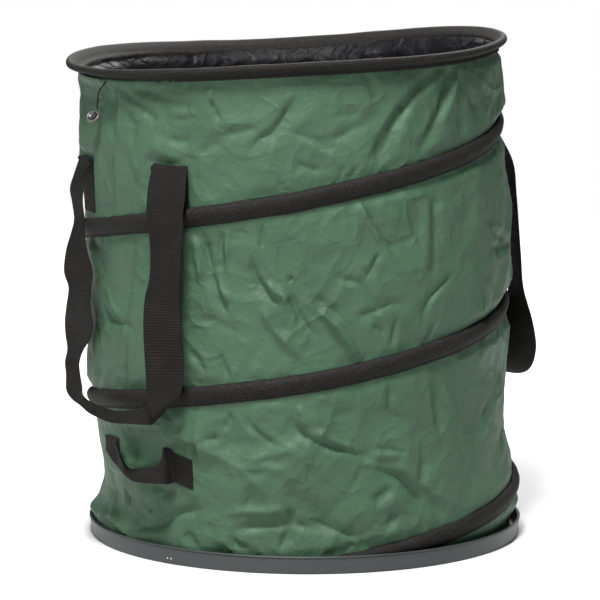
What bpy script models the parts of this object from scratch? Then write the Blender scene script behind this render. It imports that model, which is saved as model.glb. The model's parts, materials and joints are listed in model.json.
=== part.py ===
"""Pop up leaf bag: a cloth drum on a hard tray, held up by a coiled spring wire.

Metres, +Z up. The origin is the middle of the tray's underside, and -Y is the front.
Azimuths are counted from the front, positive towards +X. Heights in the bag are counted
along its own axis, which leans and tilts a little towards the rim.
"""
import bpy
import bmesh
import math
from mathutils import Matrix, Vector

# Whole bag
bag_height = 0.6285          # top of the rim hoop, on the bag's axis
top_lean = 0.026             # how far the rim's middle stands to the left of the tray's
rim_tilt_deg = 3.25          # the rim's right side is the higher one
rim_sag = 0.003              # front and back of the rim below its two sides
rim_wave = 0.0038            # the rim's three-fold warp
fit_gap = 0.0004             # between pieces that touch
stations = 36                # facets round the bag

# Cloth
wall_cloth = 0.0012
lining_cloth = 0.0010
floor_cloth = 0.0012
binding_cloth = 0.0010
hem_cloth = 0.0008
sleeve_cloth = 0.0012

# Tray
tray_radius = 0.280
tray_height = 0.0225
tray_wall = 0.0025
tray_floor = 0.0025
tray_draft = 0.0010          # the wall leans out by this much
tray_foot_bevel = 0.0022
lip_height = 0.0022
lip_overhang = 0.0010
cloth_inside_tray = 0.012    # the bag stands this far inside the tray's edge
body_radius = tray_radius - cloth_inside_tray    # outer face of the green cloth

# Ties between tray and base hoop
tie_count = 3
tie_first_deg = -37.0
tie_wire = 0.0013
tie_hole = 0.0021
tie_spacing = 0.0056
tie_height = 0.0075
tie_stand_out = 0.0007       # the two ends that show outside

# Base hoop and hem
base_hoop_wire = 0.0040
base_ferrule_wall = 0.0006
base_ferrule_length = 0.030
hem_height = 0.0082          # middle of the base hoop above the table
hem_slot_deg = 70.0          # the hem is open over this angle

# Spring wire and the tape that covers it
spring_wire = 0.0045
spring_pitch = 0.224
spring_height_at_front = 0.0107
spring_start_drop = 0.0090   # the first turn starts lower than the pitch says
spring_ease_deg = 150.0      # and has caught up by here
spring_wave = 0.0060         # the tape stands this much higher on the bag's right side
spring_start_deg = 3.0
spring_end_deg = 947.0
sleeve_height = 0.0250
sleeve_pocket_rise = 0.0040  # the wire lies above the middle of the tape
pocket_out_share = 0.90      # how round the pocket stands over the wire
pocket_flat_share = 0.5
wire_end_set_back_deg = 2.4
cap_length = 0.0090
cap_shares = [(0, 1.0), (0.7, 1.0), (1, 0.6)]    # along the cap, and its size there

# Rim
rim_flare = 0.015            # the rolled lip stands out this far from the green cloth
rim_radius = body_radius + rim_flare
rim_hoop_wire = 0.0050
rim_ferrule_wall = 0.0006
rim_ferrule_length = 0.040
band_depth = 0.0175          # lower edge of the black band below the rim's top
collar_depth = 0.0215        # the same inside
wall_top_depth = 0.0115      # upper edge of the green cloth below the rim's top
roll_start_deg = -60.0       # the binding goes round the hoop from here
roll_sweep_deg = 220.0

# Carry handles
webbing_width = 0.050
webbing_thickness = 0.0018
handle_spread_deg = 40.0     # between the two ends
left_handle_deg = -52.8
right_handle_deg = 127.2
handle_fold_height = 0.503   # where the strap folds over its own end
handle_end_length = 0.070
fold_radius = 0.0030
handle_drop = 0.321          # from the fold to the bottom of the loop
left_bow = 0.0450            # how far the loop stands off the cloth, clear of the tipping handle
right_bow = 0.0390
left_twist_deg = 8.0         # how far the loop's lower edge turns outwards
right_twist_deg = 70.0
leg_clearance = 0.0165       # strap's middle off the cloth where it crosses the tape
fold_steps = 4
leg_steps = 6
corner_steps = 14
corner_share = 0.24          # share of the loop's drop that its rounded bottom takes
corner_power = 0.6           # how square that bottom is
bow_shares = (0.2, 0.7)      # the loop's stand-off grows between these shares of its drop
twist_shares = (0.6, 0.95)   # and its lower edge turns outwards between these

# Tipping handle
tipping_width = 0.038
tipping_height = 0.127
tipping_left_deg = -58.5
tipping_right_deg = -38.5
tipping_end_length = 0.040
tipping_bow = 0.0210
tipping_droop = 0.0120
tipping_lean_deg = 70.0      # the free loop's lower edge stands out this far
tipping_rise_power = 0.7     # how square the free loop is, seen from above
tipping_steps = 12
tipping_end_steps = 3

# Toggle
toggle_cord_thickness = 0.0018
toggle_button_radius = 0.0085
toggle_button_thickness = 0.0045
toggle_button_sides = 16
# the button's turned profile: shares of its radius and of its thickness
toggle_button_shares = [(0.55, 0.30), (0.75, 0.50), (0.95, 0.36), (1.00, 0.00), (0.95, -0.36), (0.75, -0.50)]
# azimuth, height and distance off the cloth along the cord's route
toggle_cord_route = [
    (-57.0, 0.6107, 0.0005),
    (-57.1, 0.6080, 0.0007),
    (-57.8, 0.6040, 0.0021),
    (-58.8, 0.5990, 0.0038),
    (-59.6, 0.5940, 0.0043),
    (-59.9, 0.5890, 0.0044),
    (-60.2, 0.5835, 0.0046),
    (-60.4, 0.5785, 0.0047),
    (-60.6, 0.5735, 0.0048),
]

full_turn_deg = 360.0
parts = []


def clear_scene():
    """Remove whatever the file opened with."""
    for thing in list(bpy.data.objects):
        bpy.data.objects.remove(thing, do_unlink=True)


def material(name, colour, roughness, metallic=0.0):
    """A plain Principled material."""
    made = bpy.data.materials.new(name)
    made.use_nodes = True
    shader = made.node_tree.nodes["Principled BSDF"]
    shader.inputs["Base Color"].default_value = (*colour, 1.0)
    shader.inputs["Roughness"].default_value = roughness
    shader.inputs["Metallic"].default_value = metallic
    return made


def add_part(name, mesh, finish, origin=None):
    """Link a finished bmesh as a named object, with its origin where it turns."""
    bmesh.ops.recalc_face_normals(mesh, faces=mesh.faces)
    if mesh.calc_volume(signed=True) < 0:
        bmesh.ops.reverse_faces(mesh, faces=mesh.faces)
    data = bpy.data.meshes.new(name)
    mesh.to_mesh(data)
    mesh.free()
    data.materials.append(finish)
    made = bpy.data.objects.new(name, data)
    if origin is not None:
        data.transform(Matrix.Translation(-origin))
        made.location = origin
    bpy.context.collection.objects.link(made)
    data.shade_smooth()
    data.set_sharp_from_angle(angle=math.radians(35))
    parts.append(made)
    return made


def cut(target, cutter):
    """Take a cutter's shape out of a part."""
    cutter.hide_render = True
    cutter.display_type = "WIRE"
    modifier = target.modifiers.new(cutter.name, "BOOLEAN")
    modifier.operation = "DIFFERENCE"
    modifier.solver = "EXACT"
    modifier.object = cutter


def bag_point(azimuth_deg, height, radius):
    """The place of a point of the leaning bag, given its azimuth, height and radius."""
    share = height / bag_height
    azimuth = math.radians(azimuth_deg)
    tilt = math.radians(rim_tilt_deg) * share
    across = radius * math.sin(azimuth)
    warp = share ** 6 * (rim_wave * math.cos(3 * azimuth) - rim_sag * math.cos(2 * azimuth))
    return Vector((
        -top_lean * share + across * math.cos(tilt),
        -radius * math.cos(azimuth),
        height + across * math.sin(tilt) + warp,
    ))


def facet_point(azimuth_deg, height, radius):
    """The same on the straight facets between the shared azimuths."""
    step = full_turn_deg / stations
    before = step * math.floor(azimuth_deg / step)
    share = (azimuth_deg - before) / step
    return bag_point(before, height, radius).lerp(bag_point(before + step, height, radius), share)


def tray_point(azimuth_deg, height, radius):
    """The same for the level tray."""
    azimuth = math.radians(azimuth_deg)
    return Vector((radius * math.sin(azimuth), -radius * math.cos(azimuth), height))


def swept(sections, closed=False, bores=None):
    """A bmesh through cross-sections of equal length, ring-shaped if closed, with an optional bore."""
    mesh = bmesh.new()

    def skin(rows):
        """Vertices and side faces of one tube of sections."""
        made = [[mesh.verts.new(point) for point in row] for row in rows]
        pairs = list(zip(made, made[1:]))
        if closed:
            pairs.append((made[-1], made[0]))
        for one, other in pairs:
            for k in range(len(one)):
                j = (k + 1) % len(one)
                mesh.faces.new((one[k], one[j], other[j], other[k]))
        return made

    outer = skin(sections)
    inner = skin(bores) if bores else None
    if closed:
        return mesh
    for end in (0, -1):
        if inner is None:
            mesh.faces.new(outer[end])
            continue
        for k in range(len(outer[end])):
            j = (k + 1) % len(outer[end])
            mesh.faces.new((outer[end][k], outer[end][j], inner[end][j], inner[end][k]))
    return mesh


def round_section(count, radius, start_deg=0.0, sweep_deg=full_turn_deg):
    """Points (outwards, upwards) on a circle, or on an arc with both ends when it isn't whole."""
    whole = sweep_deg >= full_turn_deg
    steps = count if whole else count - 1
    return [
        (
            radius * math.cos(math.radians(start_deg + sweep_deg * k / steps)),
            radius * math.sin(math.radians(start_deg + sweep_deg * k / steps)),
        )
        for k in range(count)
    ]


def ring_azimuths():
    """The azimuths that every ring round the bag shares."""
    return [full_turn_deg * k / stations for k in range(stations)]


def ring_part(name, profile, finish, place=bag_point):
    """A closed ring with a profile of (radius, height) points."""
    sections = [[place(azimuth, z, r) for r, z in profile] for azimuth in ring_azimuths()]
    return add_part(name, swept(sections, closed=True), finish)


def ferrule(name, height, radius, wire, wall, length, azimuth_deg, finish):
    """A short open sleeve over the joint of a hoop."""
    half_turn = math.degrees(length / 2 / radius)
    bore = round_section(8, wire / 2 + fit_gap)
    shell = round_section(8, wire / 2 + fit_gap + wall)
    ends = (azimuth_deg - half_turn, azimuth_deg, azimuth_deg + half_turn)
    outer = [[facet_point(a, height + z, radius + r) for r, z in shell] for a in ends]
    inner = [[facet_point(a, height + z, radius + r) for r, z in bore] for a in ends]
    return add_part(name, swept(outer, bores=inner), finish)


def make_tray(plastic, white):
    """The hard tray, with the holes of its ties."""
    foot = tray_radius - tray_draft
    inside = tray_radius - tray_wall
    profile = [
        (foot - tray_foot_bevel, 0),
        (foot, tray_foot_bevel),
        (tray_radius, tray_height - lip_height),
        (tray_radius + lip_overhang, tray_height - lip_height / 2),
        (tray_radius, tray_height),
        (inside, tray_height),
        (inside - tray_draft, tray_floor),
    ]
    mesh = bmesh.new()
    count = 2 * stations
    rings = []
    for k in range(count):
        azimuth = full_turn_deg * k / count
        rings.append([mesh.verts.new(tray_point(azimuth, z, r)) for r, z in profile])
    for k in range(count):
        one, other = rings[k], rings[(k + 1) % count]
        for j in range(len(profile) - 1):
            mesh.faces.new((one[j], one[j + 1], other[j + 1], other[j]))
    for row in (0, -1):
        middle = mesh.verts.new((0, 0, profile[row][1]))
        for k in range(count):
            mesh.faces.new((rings[k][row], rings[(k + 1) % count][row], middle))
    tray = add_part("base_tray", mesh, plastic)
    hole_turn = math.degrees(tie_spacing / 2 / tray_radius)
    half_hole = tie_hole / 2
    outside = tray_radius + lip_overhang + tray_wall
    bridge_radius = tray_radius - tray_draft - tray_wall - tie_wire
    for number in range(tie_count):
        middle_deg = tie_first_deg + full_turn_deg * number / tie_count
        for side in (-1, 1):
            azimuth = middle_deg + side * hole_turn
            ends = (tray_radius - 3 * tray_wall, outside)
            turn = math.degrees(half_hole / tray_radius)
            sections = [
                [tray_point(azimuth + u * turn, tie_height + v * half_hole, r)
                 for u, v in ((-1, -1), (1, -1), (1, 1), (-1, 1))]
                for r in ends
            ]
            mesh = swept(sections)
            bmesh.ops.recalc_face_normals(mesh, faces=mesh.faces)
            data = bpy.data.meshes.new("tie_hole")
            mesh.to_mesh(data)
            mesh.free()
            cutter = bpy.data.objects.new("tie_hole", data)
            bpy.context.collection.objects.link(cutter)
            cut(tray, cutter)
        make_tie(number + 1, middle_deg, hole_turn, bridge_radius, white)
    return tray


def make_tie(number, middle_deg, hole_turn, bridge_radius, white):
    """One tie: two legs through the tray's wall and a bridge inside it."""
    tip_radius = tray_radius + tie_stand_out
    half = tie_wire / 2
    turn = math.degrees(half / tray_radius)
    rows = [
        (-1, tip_radius, "leg"),
        (-1, bridge_radius, "corner"),
        (1, bridge_radius, "corner"),
        (1, tip_radius, "leg"),
    ]
    sections = []
    for side, radius, kind in rows:
        azimuth = middle_deg + side * hole_turn
        inward = half if kind == "corner" else 0
        outline = []
        for u, v in ((-1, -1), (1, -1), (1, 1), (-1, 1)):
            # u runs towards the tie's middle, so that the corners are mitred
            outline.append(tray_point(
                azimuth - side * u * turn,
                tie_height + v * half,
                radius + u * inward,
            ))
        sections.append(outline)
    add_part(f"tray_tie_{number}", swept(sections), white)


def make_base_hoop(steel, black):
    """The ring in the bottom hem, its ferrule and the hem tape round it."""
    lining_inside = body_radius - wall_cloth - fit_gap
    ferrule_radius = base_hoop_wire / 2 + fit_gap + base_ferrule_wall
    hem_inside = ferrule_radius + fit_gap
    hem_outside = hem_inside + hem_cloth
    middle = lining_inside - hem_outside
    ring = [(middle + r, hem_height + z) for r, z in round_section(6, base_hoop_wire / 2)]
    ring_part("base_hoop", ring, steel)
    ferrule("base_ferrule", hem_height, middle, base_hoop_wire, base_ferrule_wall,
            base_ferrule_length, 180, steel)
    # the hem is open towards the middle of the bag
    start = 180 + hem_slot_deg / 2
    sweep = full_turn_deg - hem_slot_deg
    shell = round_section(7, hem_outside, start, sweep)
    bore = round_section(7, hem_inside, start, sweep)
    outline = shell + bore[::-1]
    ring_part("base_hem", [(middle + r, hem_height + z) for r, z in outline], black)
    return middle - hem_outside


def make_floor(radius, cloth):
    """The cloth floor that lies in the tray."""
    low = tray_floor + fit_gap
    sections = [
        [bag_point(azimuth, z, radius) for azimuth in ring_azimuths()]
        for z in (low, low + floor_cloth)
    ]
    return add_part("floor_panel", swept(sections), cloth)


def make_walls(green, film):
    """The green cloth and the lining inside it."""
    low = tray_floor + fit_gap
    top = bag_height - wall_top_depth
    rows = [low + (top - low) * k / 4 for k in range(5)]
    outer = [(body_radius, z) for z in rows]
    inner = [(body_radius - wall_cloth, z) for z in rows[::-1]]
    ring_part("side_wall", outer + inner, green)
    film_out = body_radius - wall_cloth - fit_gap
    film_low = hem_height + base_hoop_wire / 2 + base_ferrule_wall + hem_cloth + 3 * fit_gap
    rows = [film_low + (top - film_low) * k / 4 for k in range(5)]
    outer = [(film_out, z) for z in rows]
    inner = [(film_out - lining_cloth, z) for z in rows[::-1]]
    ring_part("inner_lining", outer + inner, film)


def spring_height(turned_deg):
    """Height of the tape's middle after so many degrees round the bag."""
    drop = spring_start_drop * max(0.0, 1 - turned_deg / spring_ease_deg)
    wave = spring_wave * max(0.0, math.sin(math.radians(turned_deg)))
    return spring_height_at_front + spring_pitch * turned_deg / full_turn_deg - drop + wave


def spring_stations(first_deg, last_deg):
    """The shared azimuths between two angles, with the two ends."""
    step = full_turn_deg / stations
    inside = [step * k for k in range(math.ceil(first_deg / step), math.floor(last_deg / step) + 1)]
    inside = [a for a in inside if first_deg + step / 6 < a < last_deg - step / 6]
    return [first_deg, *inside, last_deg]


def wire_radius():
    """Distance of the spring wire's middle from the bag's axis."""
    return body_radius + fit_gap + sleeve_cloth + fit_gap + spring_wire / 2


def make_spring(steel, black, rubber):
    """The spring wire, the tape round it and the caps on its ends."""
    middle = wire_radius()
    bore_radius = spring_wire / 2 + fit_gap
    shell_radius = bore_radius + sleeve_cloth
    back = body_radius + fit_gap
    flat = back + sleeve_cloth
    lowest = tray_floor + fit_gap
    highest = bag_height - band_depth - fit_gap
    sections, bores = [], []
    for turned in spring_stations(spring_start_deg, spring_end_deg):
        height = spring_height(turned)
        low = max(height - sleeve_height / 2, lowest)
        high = min(height + sleeve_height / 2, highest)
        wire_at = height + sleeve_pocket_rise
        outline = [
            (back, low),
            (flat, low),
            (flat, wire_at - shell_radius),
            (middle + shell_radius * pocket_out_share, wire_at - shell_radius * pocket_flat_share),
            (middle + shell_radius * pocket_out_share, wire_at + shell_radius * pocket_flat_share),
            (flat, max(high, wire_at + shell_radius)),
            (back, max(high, wire_at + shell_radius)),
            (back, wire_at),
        ]
        hole = [(middle + r, wire_at + z) for r, z in round_section(8, bore_radius, 202.5)]
        # both outlines run the same way, and start at the lower back corner
        sections.append([facet_point(turned, z, r) for r, z in outline])
        bores.append([facet_point(turned, z, r) for r, z in hole])
    add_part("spiral_sleeve", swept(sections, bores=bores), black)
    first = spring_start_deg + wire_end_set_back_deg
    last = spring_end_deg - wire_end_set_back_deg
    rows = []
    for turned in spring_stations(first, last):
        wire_at = spring_height(turned) + sleeve_pocket_rise
        rows.append([facet_point(turned, wire_at + z, middle + r)
                     for r, z in round_section(6, spring_wire / 2)])
    add_part("spiral_wire", swept(rows), steel)
    gap_turn = math.degrees(fit_gap / middle)
    cap_turn = math.degrees(cap_length / middle)
    for name, start, way in (("wire_cap_lower", first, -1), ("wire_cap_upper", last, 1)):
        rows = []
        for along, size in cap_shares:
            turned = start + way * (gap_turn + cap_turn * along)
            wire_at = spring_height(turned) + sleeve_pocket_rise
            rows.append([facet_point(turned, wire_at + z * size, middle + r * size)
                         for r, z in round_section(6, spring_wire / 2)])
        add_part(name, swept(rows), rubber)
    print_least_gap(first, last)


def print_least_gap(first_deg, last_deg):
    """Measure how near the wire's turns come to each other."""
    step = full_turn_deg / stations
    count = int((last_deg - first_deg) / step)
    points = [
        bag_point(first_deg + step * k, spring_height(first_deg + step * k), wire_radius())
        for k in range(count)
    ]
    least = min(
        (one - other).length
        for k, one in enumerate(points)
        for other in points[k + stations // 2:]
    )
    print(f"least gap between the turns of spiral_wire: {1000 * (least - spring_wire):.1f} mm")


def make_rim(steel, black):
    """The rim's hoop, its ferrule and the black binding folded over both."""
    ferrule_radius = rim_hoop_wire / 2 + fit_gap + rim_ferrule_wall
    roll_inside = ferrule_radius + fit_gap
    roll_outside = roll_inside + binding_cloth
    middle = rim_radius - roll_outside
    height = bag_height - roll_outside
    ring = [(middle + r, height + z) for r, z in round_section(8, rim_hoop_wire / 2)]
    ring_part("rim_hoop", ring, steel)
    ferrule("rim_ferrule", height, middle, rim_hoop_wire, rim_ferrule_wall,
            rim_ferrule_length, 180, steel)
    band_in = body_radius + fit_gap
    band_out = band_in + binding_cloth
    collar_out = body_radius - wall_cloth - lining_cloth - 2 * fit_gap
    collar_in = collar_out - binding_cloth
    band_low = bag_height - band_depth
    collar_low = bag_height - collar_depth
    outer_roll = round_section(8, roll_outside, roll_start_deg, roll_sweep_deg)
    inner_roll = round_section(8, roll_inside, roll_start_deg, roll_sweep_deg)
    outline = [(band_out, band_low), (band_out, height - roll_outside - band_out + band_in)]
    outline += [(middle + r, height + z) for r, z in outer_roll]
    outline += [(collar_in, height - roll_outside), (collar_in, collar_low)]
    outline += [(collar_out, collar_low), (collar_out, height - roll_outside)]
    outline += [(middle + r, height + z) for r, z in inner_roll[::-1]]
    outline += [(band_in, height - roll_outside - band_out + band_in), (band_in, band_low)]
    ring_part("rim_binding", outline, black)


def strap_sections(stops, width, thickness):
    """Cross-sections of a flat strap through stops of (middle, width direction, normal)."""
    rows = []
    for centre, across, normal in stops:
        side = across.normalized() * width / 2
        up = normal.normalized() * thickness / 2
        rows.append([centre - side - up, centre + side - up, centre + side + up, centre - side + up])
    return rows


def eased_between(value, limits):
    """A smooth step from 0 at the first limit to 1 at the second."""
    share = (value - limits[0]) / (limits[1] - limits[0])
    share = min(1.0, max(0.0, share))
    return share * share * (3 - 2 * share)


def bag_frame(azimuth_deg, height, radius):
    """A point of the bag with the sideways, outward and upward directions of its cloth there."""
    place = bag_point(azimuth_deg, height, radius)
    sideways = bag_point(azimuth_deg + 1, height, radius) - bag_point(azimuth_deg - 1, height, radius)
    rising = bag_point(azimuth_deg, height + fit_gap, radius) - place
    outwards = sideways.cross(rising).normalized()
    sideways.normalize()
    return place, sideways, outwards, outwards.cross(sideways)


def end_radius():
    """Radius of the middle of a strap's sewn end."""
    return body_radius + fit_gap + webbing_thickness / 2


def fold_middle_radius():
    """Radius of the middle of a strap's fold."""
    return end_radius() + fold_radius


def swing_radius():
    """Radius at which a strap's free loop leaves its fold, which is where it swings."""
    return fold_middle_radius() + fold_radius


def make_carry_handle(side, middle_deg, bow, twist_deg, end_names, black):
    """One carry handle: two sewn ends, their folds, and the free loop that hangs from them."""
    half = handle_spread_deg / 2
    ends = (middle_deg + half, middle_deg - half)
    for name, azimuth in zip(end_names, ends):
        # the end rises from the tape where the tape is near, or from its own seam
        turned = azimuth % full_turn_deg
        while spring_height(turned + full_turn_deg) < handle_fold_height:
            turned += full_turn_deg
        strap_turn = math.degrees(webbing_width / 2 / body_radius)
        tape_top = spring_height(turned + strap_turn) + sleeve_height / 2 + fit_gap
        low = max(tape_top, handle_fold_height - handle_end_length)
        top = handle_fold_height - fit_gap
        rows = []
        for height in (low, (low + top) / 2, top):
            place, sideways, outwards, up = bag_frame(azimuth, height, end_radius())
            rows.append((place, sideways, outwards))
        add_part(f"{side}_handle_end_{name}",
                 swept(strap_sections(rows, webbing_width, webbing_thickness)), black)
        last_turn = fit_gap / fold_radius
        rows = [fold_stop(azimuth, math.pi + (last_turn - math.pi) * k / fold_steps)
                for k in range(fold_steps + 1)]
        add_part(f"{side}_handle_fold_{name}",
                 swept(strap_sections(rows, webbing_width, webbing_thickness)), black)
    rows = strap_sections(loop_stops(ends, bow, twist_deg), webbing_width, webbing_thickness)
    pivots = [bag_point(azimuth, handle_fold_height, swing_radius()) for azimuth in ends]
    middle = (pivots[0] + pivots[1]) / 2
    add_part(f"{side}_handle_strap", swept(rows), black, origin=middle)
    print_hinge(f"{side}_handle_swing", middle, pivots[0] - pivots[1])


def print_hinge(name, middle, along):
    """Say where a strap turns."""
    along = along.normalized()
    print(name, [round(v, 5) for v in middle], [round(v, 6) for v in along])


def fold_stop(azimuth_deg, turn):
    """One section of a strap's fold, at an angle from outwards (0) to inwards (half a turn)."""
    height = handle_fold_height + fold_radius * math.sin(turn)
    radius = fold_middle_radius() + fold_radius * math.cos(turn)
    place, sideways, outwards, up = bag_frame(azimuth_deg, height, radius)
    return place, sideways, outwards * math.cos(turn) + up * math.sin(turn)


def loop_stops(ends, bow, twist_deg):
    """Sections of the hanging loop, from one leg round the bottom to the other."""
    half = (ends[0] - ends[1]) / 2
    middle_deg = (ends[0] + ends[1]) / 2
    stops = []
    for k in range(leg_steps + 1):
        stops.append((1.0, (1 - corner_share) * k / leg_steps))
    for k in range(1, corner_steps):
        turn = math.pi * k / corner_steps
        side_share = math.copysign(abs(math.cos(turn)) ** corner_power, math.cos(turn))
        stops.append((side_share, 1 - corner_share + corner_share * math.sin(turn) ** corner_power))
    for k in range(leg_steps, -1, -1):
        stops.append((-1.0, (1 - corner_share) * k / leg_steps))
    frames = []
    for side_share, drop_share in stops:
        stand = leg_clearance + (bow - leg_clearance) * eased_between(drop_share, bow_shares)
        if drop_share == 0:
            stand = swing_radius() - body_radius
        frames.append(bag_frame(
            middle_deg + half * side_share,
            handle_fold_height - fit_gap - handle_drop * drop_share,
            body_radius + stand,
        ))
    sections = []
    for k, (place, sideways, outwards, up) in enumerate(frames):
        before = frames[max(k - 1, 0)][0]
        after = frames[min(k + 1, len(frames) - 1)][0]
        along = (after - before).normalized()
        # the strap turns its lower edge outwards at the bottom of the loop
        twist = math.radians(twist_deg) * eased_between(stops[k][1], twist_shares)
        across = outwards.cross(along).normalized() * math.cos(twist) + outwards * math.sin(twist)
        across = (across - along * across.dot(along)).normalized()
        sections.append((place, across, along.cross(across)))
    return sections


def make_tipping_handle(black):
    """The short strap low on the left: two sewn ends and a free loop between them."""
    end_turn = math.degrees(tipping_end_length / body_radius)
    spans = (
        ("left", tipping_left_deg - end_turn, tipping_left_deg),
        ("right", tipping_right_deg, tipping_right_deg + end_turn),
    )
    for name, first, last in spans:
        rows = []
        for k in range(tipping_end_steps + 1):
            azimuth = first + (last - first) * k / tipping_end_steps
            place, sideways, outwards, up = bag_frame(azimuth, tipping_height, end_radius())
            rows.append((place, up, outwards))
        add_part(f"tipping_handle_end_{name}",
                 swept(strap_sections(rows, tipping_width, webbing_thickness)), black)
    gap_turn = math.degrees(fit_gap / body_radius)
    rows = []
    for k in range(tipping_steps + 1):
        share = k / tipping_steps
        rise = math.sin(math.pi * share) ** tipping_rise_power if 0 < share < 1 else 0.0
        azimuth = tipping_left_deg + gap_turn
        azimuth += (tipping_right_deg - tipping_left_deg - 2 * gap_turn) * share
        place, sideways, outwards, up = bag_frame(
            azimuth,
            tipping_height - tipping_droop * rise,
            end_radius() + tipping_bow * rise,
        )
        lean = math.radians(tipping_lean_deg) * rise
        across = up * math.cos(lean) - outwards * math.sin(lean)
        rows.append((place, across, across.cross(sideways) * -1))
    # the loop swings about its upper edge, so that none of it turns into the cloth
    pivots = [bag_point(a, tipping_height + tipping_width / 2, end_radius())
              for a in (tipping_left_deg, tipping_right_deg)]
    middle = (pivots[0] + pivots[1]) / 2
    add_part("tipping_handle_strap",
             swept(strap_sections(rows, tipping_width, webbing_thickness)), black, origin=middle)
    print_hinge("tipping_handle_swing", middle, pivots[1] - pivots[0])


def make_toggle(black, dark):
    """The thin cord under the rim and its button."""
    curve = bpy.data.curves.new("toggle_cord", "CURVE")
    curve.dimensions = "3D"
    curve.bevel_depth = toggle_cord_thickness / 2
    curve.bevel_resolution = 2
    curve.use_fill_caps = True
    line = curve.splines.new("POLY")
    line.points.add(len(toggle_cord_route) - 1)
    for point, (azimuth, height, off) in zip(line.points, toggle_cord_route):
        point.co = (*bag_point(azimuth, height, body_radius + off), 1)
    curve.materials.append(black)
    made = bpy.data.objects.new("toggle_cord", curve)
    bpy.context.collection.objects.link(made)
    parts.append(made)
    # the button hangs flat against the cloth, with a raised edge
    azimuth, height, off = toggle_cord_route[-1]
    end, sideways, outwards, up = bag_frame(azimuth, height, body_radius + off)
    middle = end - up * (toggle_button_radius + fit_gap)
    mesh = bmesh.new()
    rings = []
    for k in range(toggle_button_sides):
        turn = math.tau * k / toggle_button_sides
        spoke = sideways * math.cos(turn) + up * math.sin(turn)
        rings.append([
            mesh.verts.new(middle + spoke * toggle_button_radius * r
                           + outwards * toggle_button_thickness * d)
            for r, d in toggle_button_shares
        ])
    for k in range(toggle_button_sides):
        one, other = rings[k], rings[(k + 1) % toggle_button_sides]
        for j in range(len(toggle_button_shares) - 1):
            mesh.faces.new((one[j], one[j + 1], other[j + 1], other[j]))
    mesh.faces.new([ring[0] for ring in rings])
    mesh.faces.new([ring[-1] for ring in rings])
    add_part("toggle_button", mesh, dark)


def build():
    """Make every piece of the bag."""
    clear_scene()
    plastic = material("tray_plastic", (0.075, 0.090, 0.088), 0.42)
    white = material("tie_thread", (0.75, 0.75, 0.72), 0.6)
    green = material("green_cloth", (0.075, 0.165, 0.092), 0.62)
    film = material("lining_film", (0.020, 0.020, 0.021), 0.28)
    black = material("black_webbing", (0.024, 0.021, 0.020), 0.8)
    tape = material("black_tape", (0.026, 0.023, 0.021), 0.72)
    floor_cloth_finish = material("floor_cloth", (0.022, 0.022, 0.022), 0.6)
    steel = material("spring_steel", (0.42, 0.42, 0.43), 0.35, 1.0)
    rubber = material("cap_rubber", (0.03, 0.03, 0.03), 0.7)
    button = material("button_plastic", (0.035, 0.035, 0.035), 0.25)
    make_tray(plastic, white)
    floor_radius = make_base_hoop(steel, tape)
    make_floor(floor_radius + hem_cloth, floor_cloth_finish)
    make_walls(green, film)
    make_spring(steel, tape, rubber)
    make_rim(steel, tape)
    make_carry_handle("left", left_handle_deg, left_bow, left_twist_deg, ("front", "side"), black)
    make_carry_handle("right", right_handle_deg, right_bow, right_twist_deg, ("back", "side"), black)
    make_tipping_handle(black)
    make_toggle(tape, button)


build()
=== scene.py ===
"""Pop up leaf bag: cloth, tape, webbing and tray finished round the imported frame.

Metres, +Z up. The origin is the middle of the tray's underside, and -Y is the front.
Azimuths are counted from the front, positive towards +X, and heights along the bag's axis.
"""
import json
import logging
import math
from dataclasses import dataclass
from enum import Enum
from typing import Callable, Optional, Sequence, Union

import bmesh
import bpy
import numpy as np
from mathutils import Euler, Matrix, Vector


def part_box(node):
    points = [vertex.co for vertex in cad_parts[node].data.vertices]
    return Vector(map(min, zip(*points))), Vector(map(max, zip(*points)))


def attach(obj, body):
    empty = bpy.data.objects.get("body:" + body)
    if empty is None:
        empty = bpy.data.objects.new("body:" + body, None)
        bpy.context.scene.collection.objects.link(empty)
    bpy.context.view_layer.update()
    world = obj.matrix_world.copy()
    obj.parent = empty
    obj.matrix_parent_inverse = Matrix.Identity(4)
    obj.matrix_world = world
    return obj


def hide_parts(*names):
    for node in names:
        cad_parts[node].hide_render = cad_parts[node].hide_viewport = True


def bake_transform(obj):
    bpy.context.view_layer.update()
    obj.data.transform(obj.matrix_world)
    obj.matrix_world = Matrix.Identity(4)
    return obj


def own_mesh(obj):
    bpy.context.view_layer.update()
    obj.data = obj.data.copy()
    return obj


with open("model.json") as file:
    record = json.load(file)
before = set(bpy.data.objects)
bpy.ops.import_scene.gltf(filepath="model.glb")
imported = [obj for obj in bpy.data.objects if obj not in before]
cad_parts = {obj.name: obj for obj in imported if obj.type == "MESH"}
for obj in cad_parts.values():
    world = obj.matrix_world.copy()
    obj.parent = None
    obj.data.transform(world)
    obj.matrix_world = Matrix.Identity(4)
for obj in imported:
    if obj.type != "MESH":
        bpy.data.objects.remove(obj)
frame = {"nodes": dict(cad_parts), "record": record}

Array = np.ndarray
Pair = tuple[float, float]
Pixel = Pair
Colour = tuple[float, float, float]
Piece = bpy.types.Object
Material = bpy.types.Material
Socket = bpy.types.NodeSocket
Value = Union[float, Sequence[float], Socket]

MM = 0.001
WELD = 1e-6

log = logging.getLogger("leaf_bag")
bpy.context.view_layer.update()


def smooth_step(value: Array, low: float, high: float) -> Array:
    """A smooth rise from 0, where the value is low, to 1, where it is high."""
    share = np.clip((value - low) / (high - low), 0.0, 1.0)
    return share * share * (3 - 2 * share)


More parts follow.
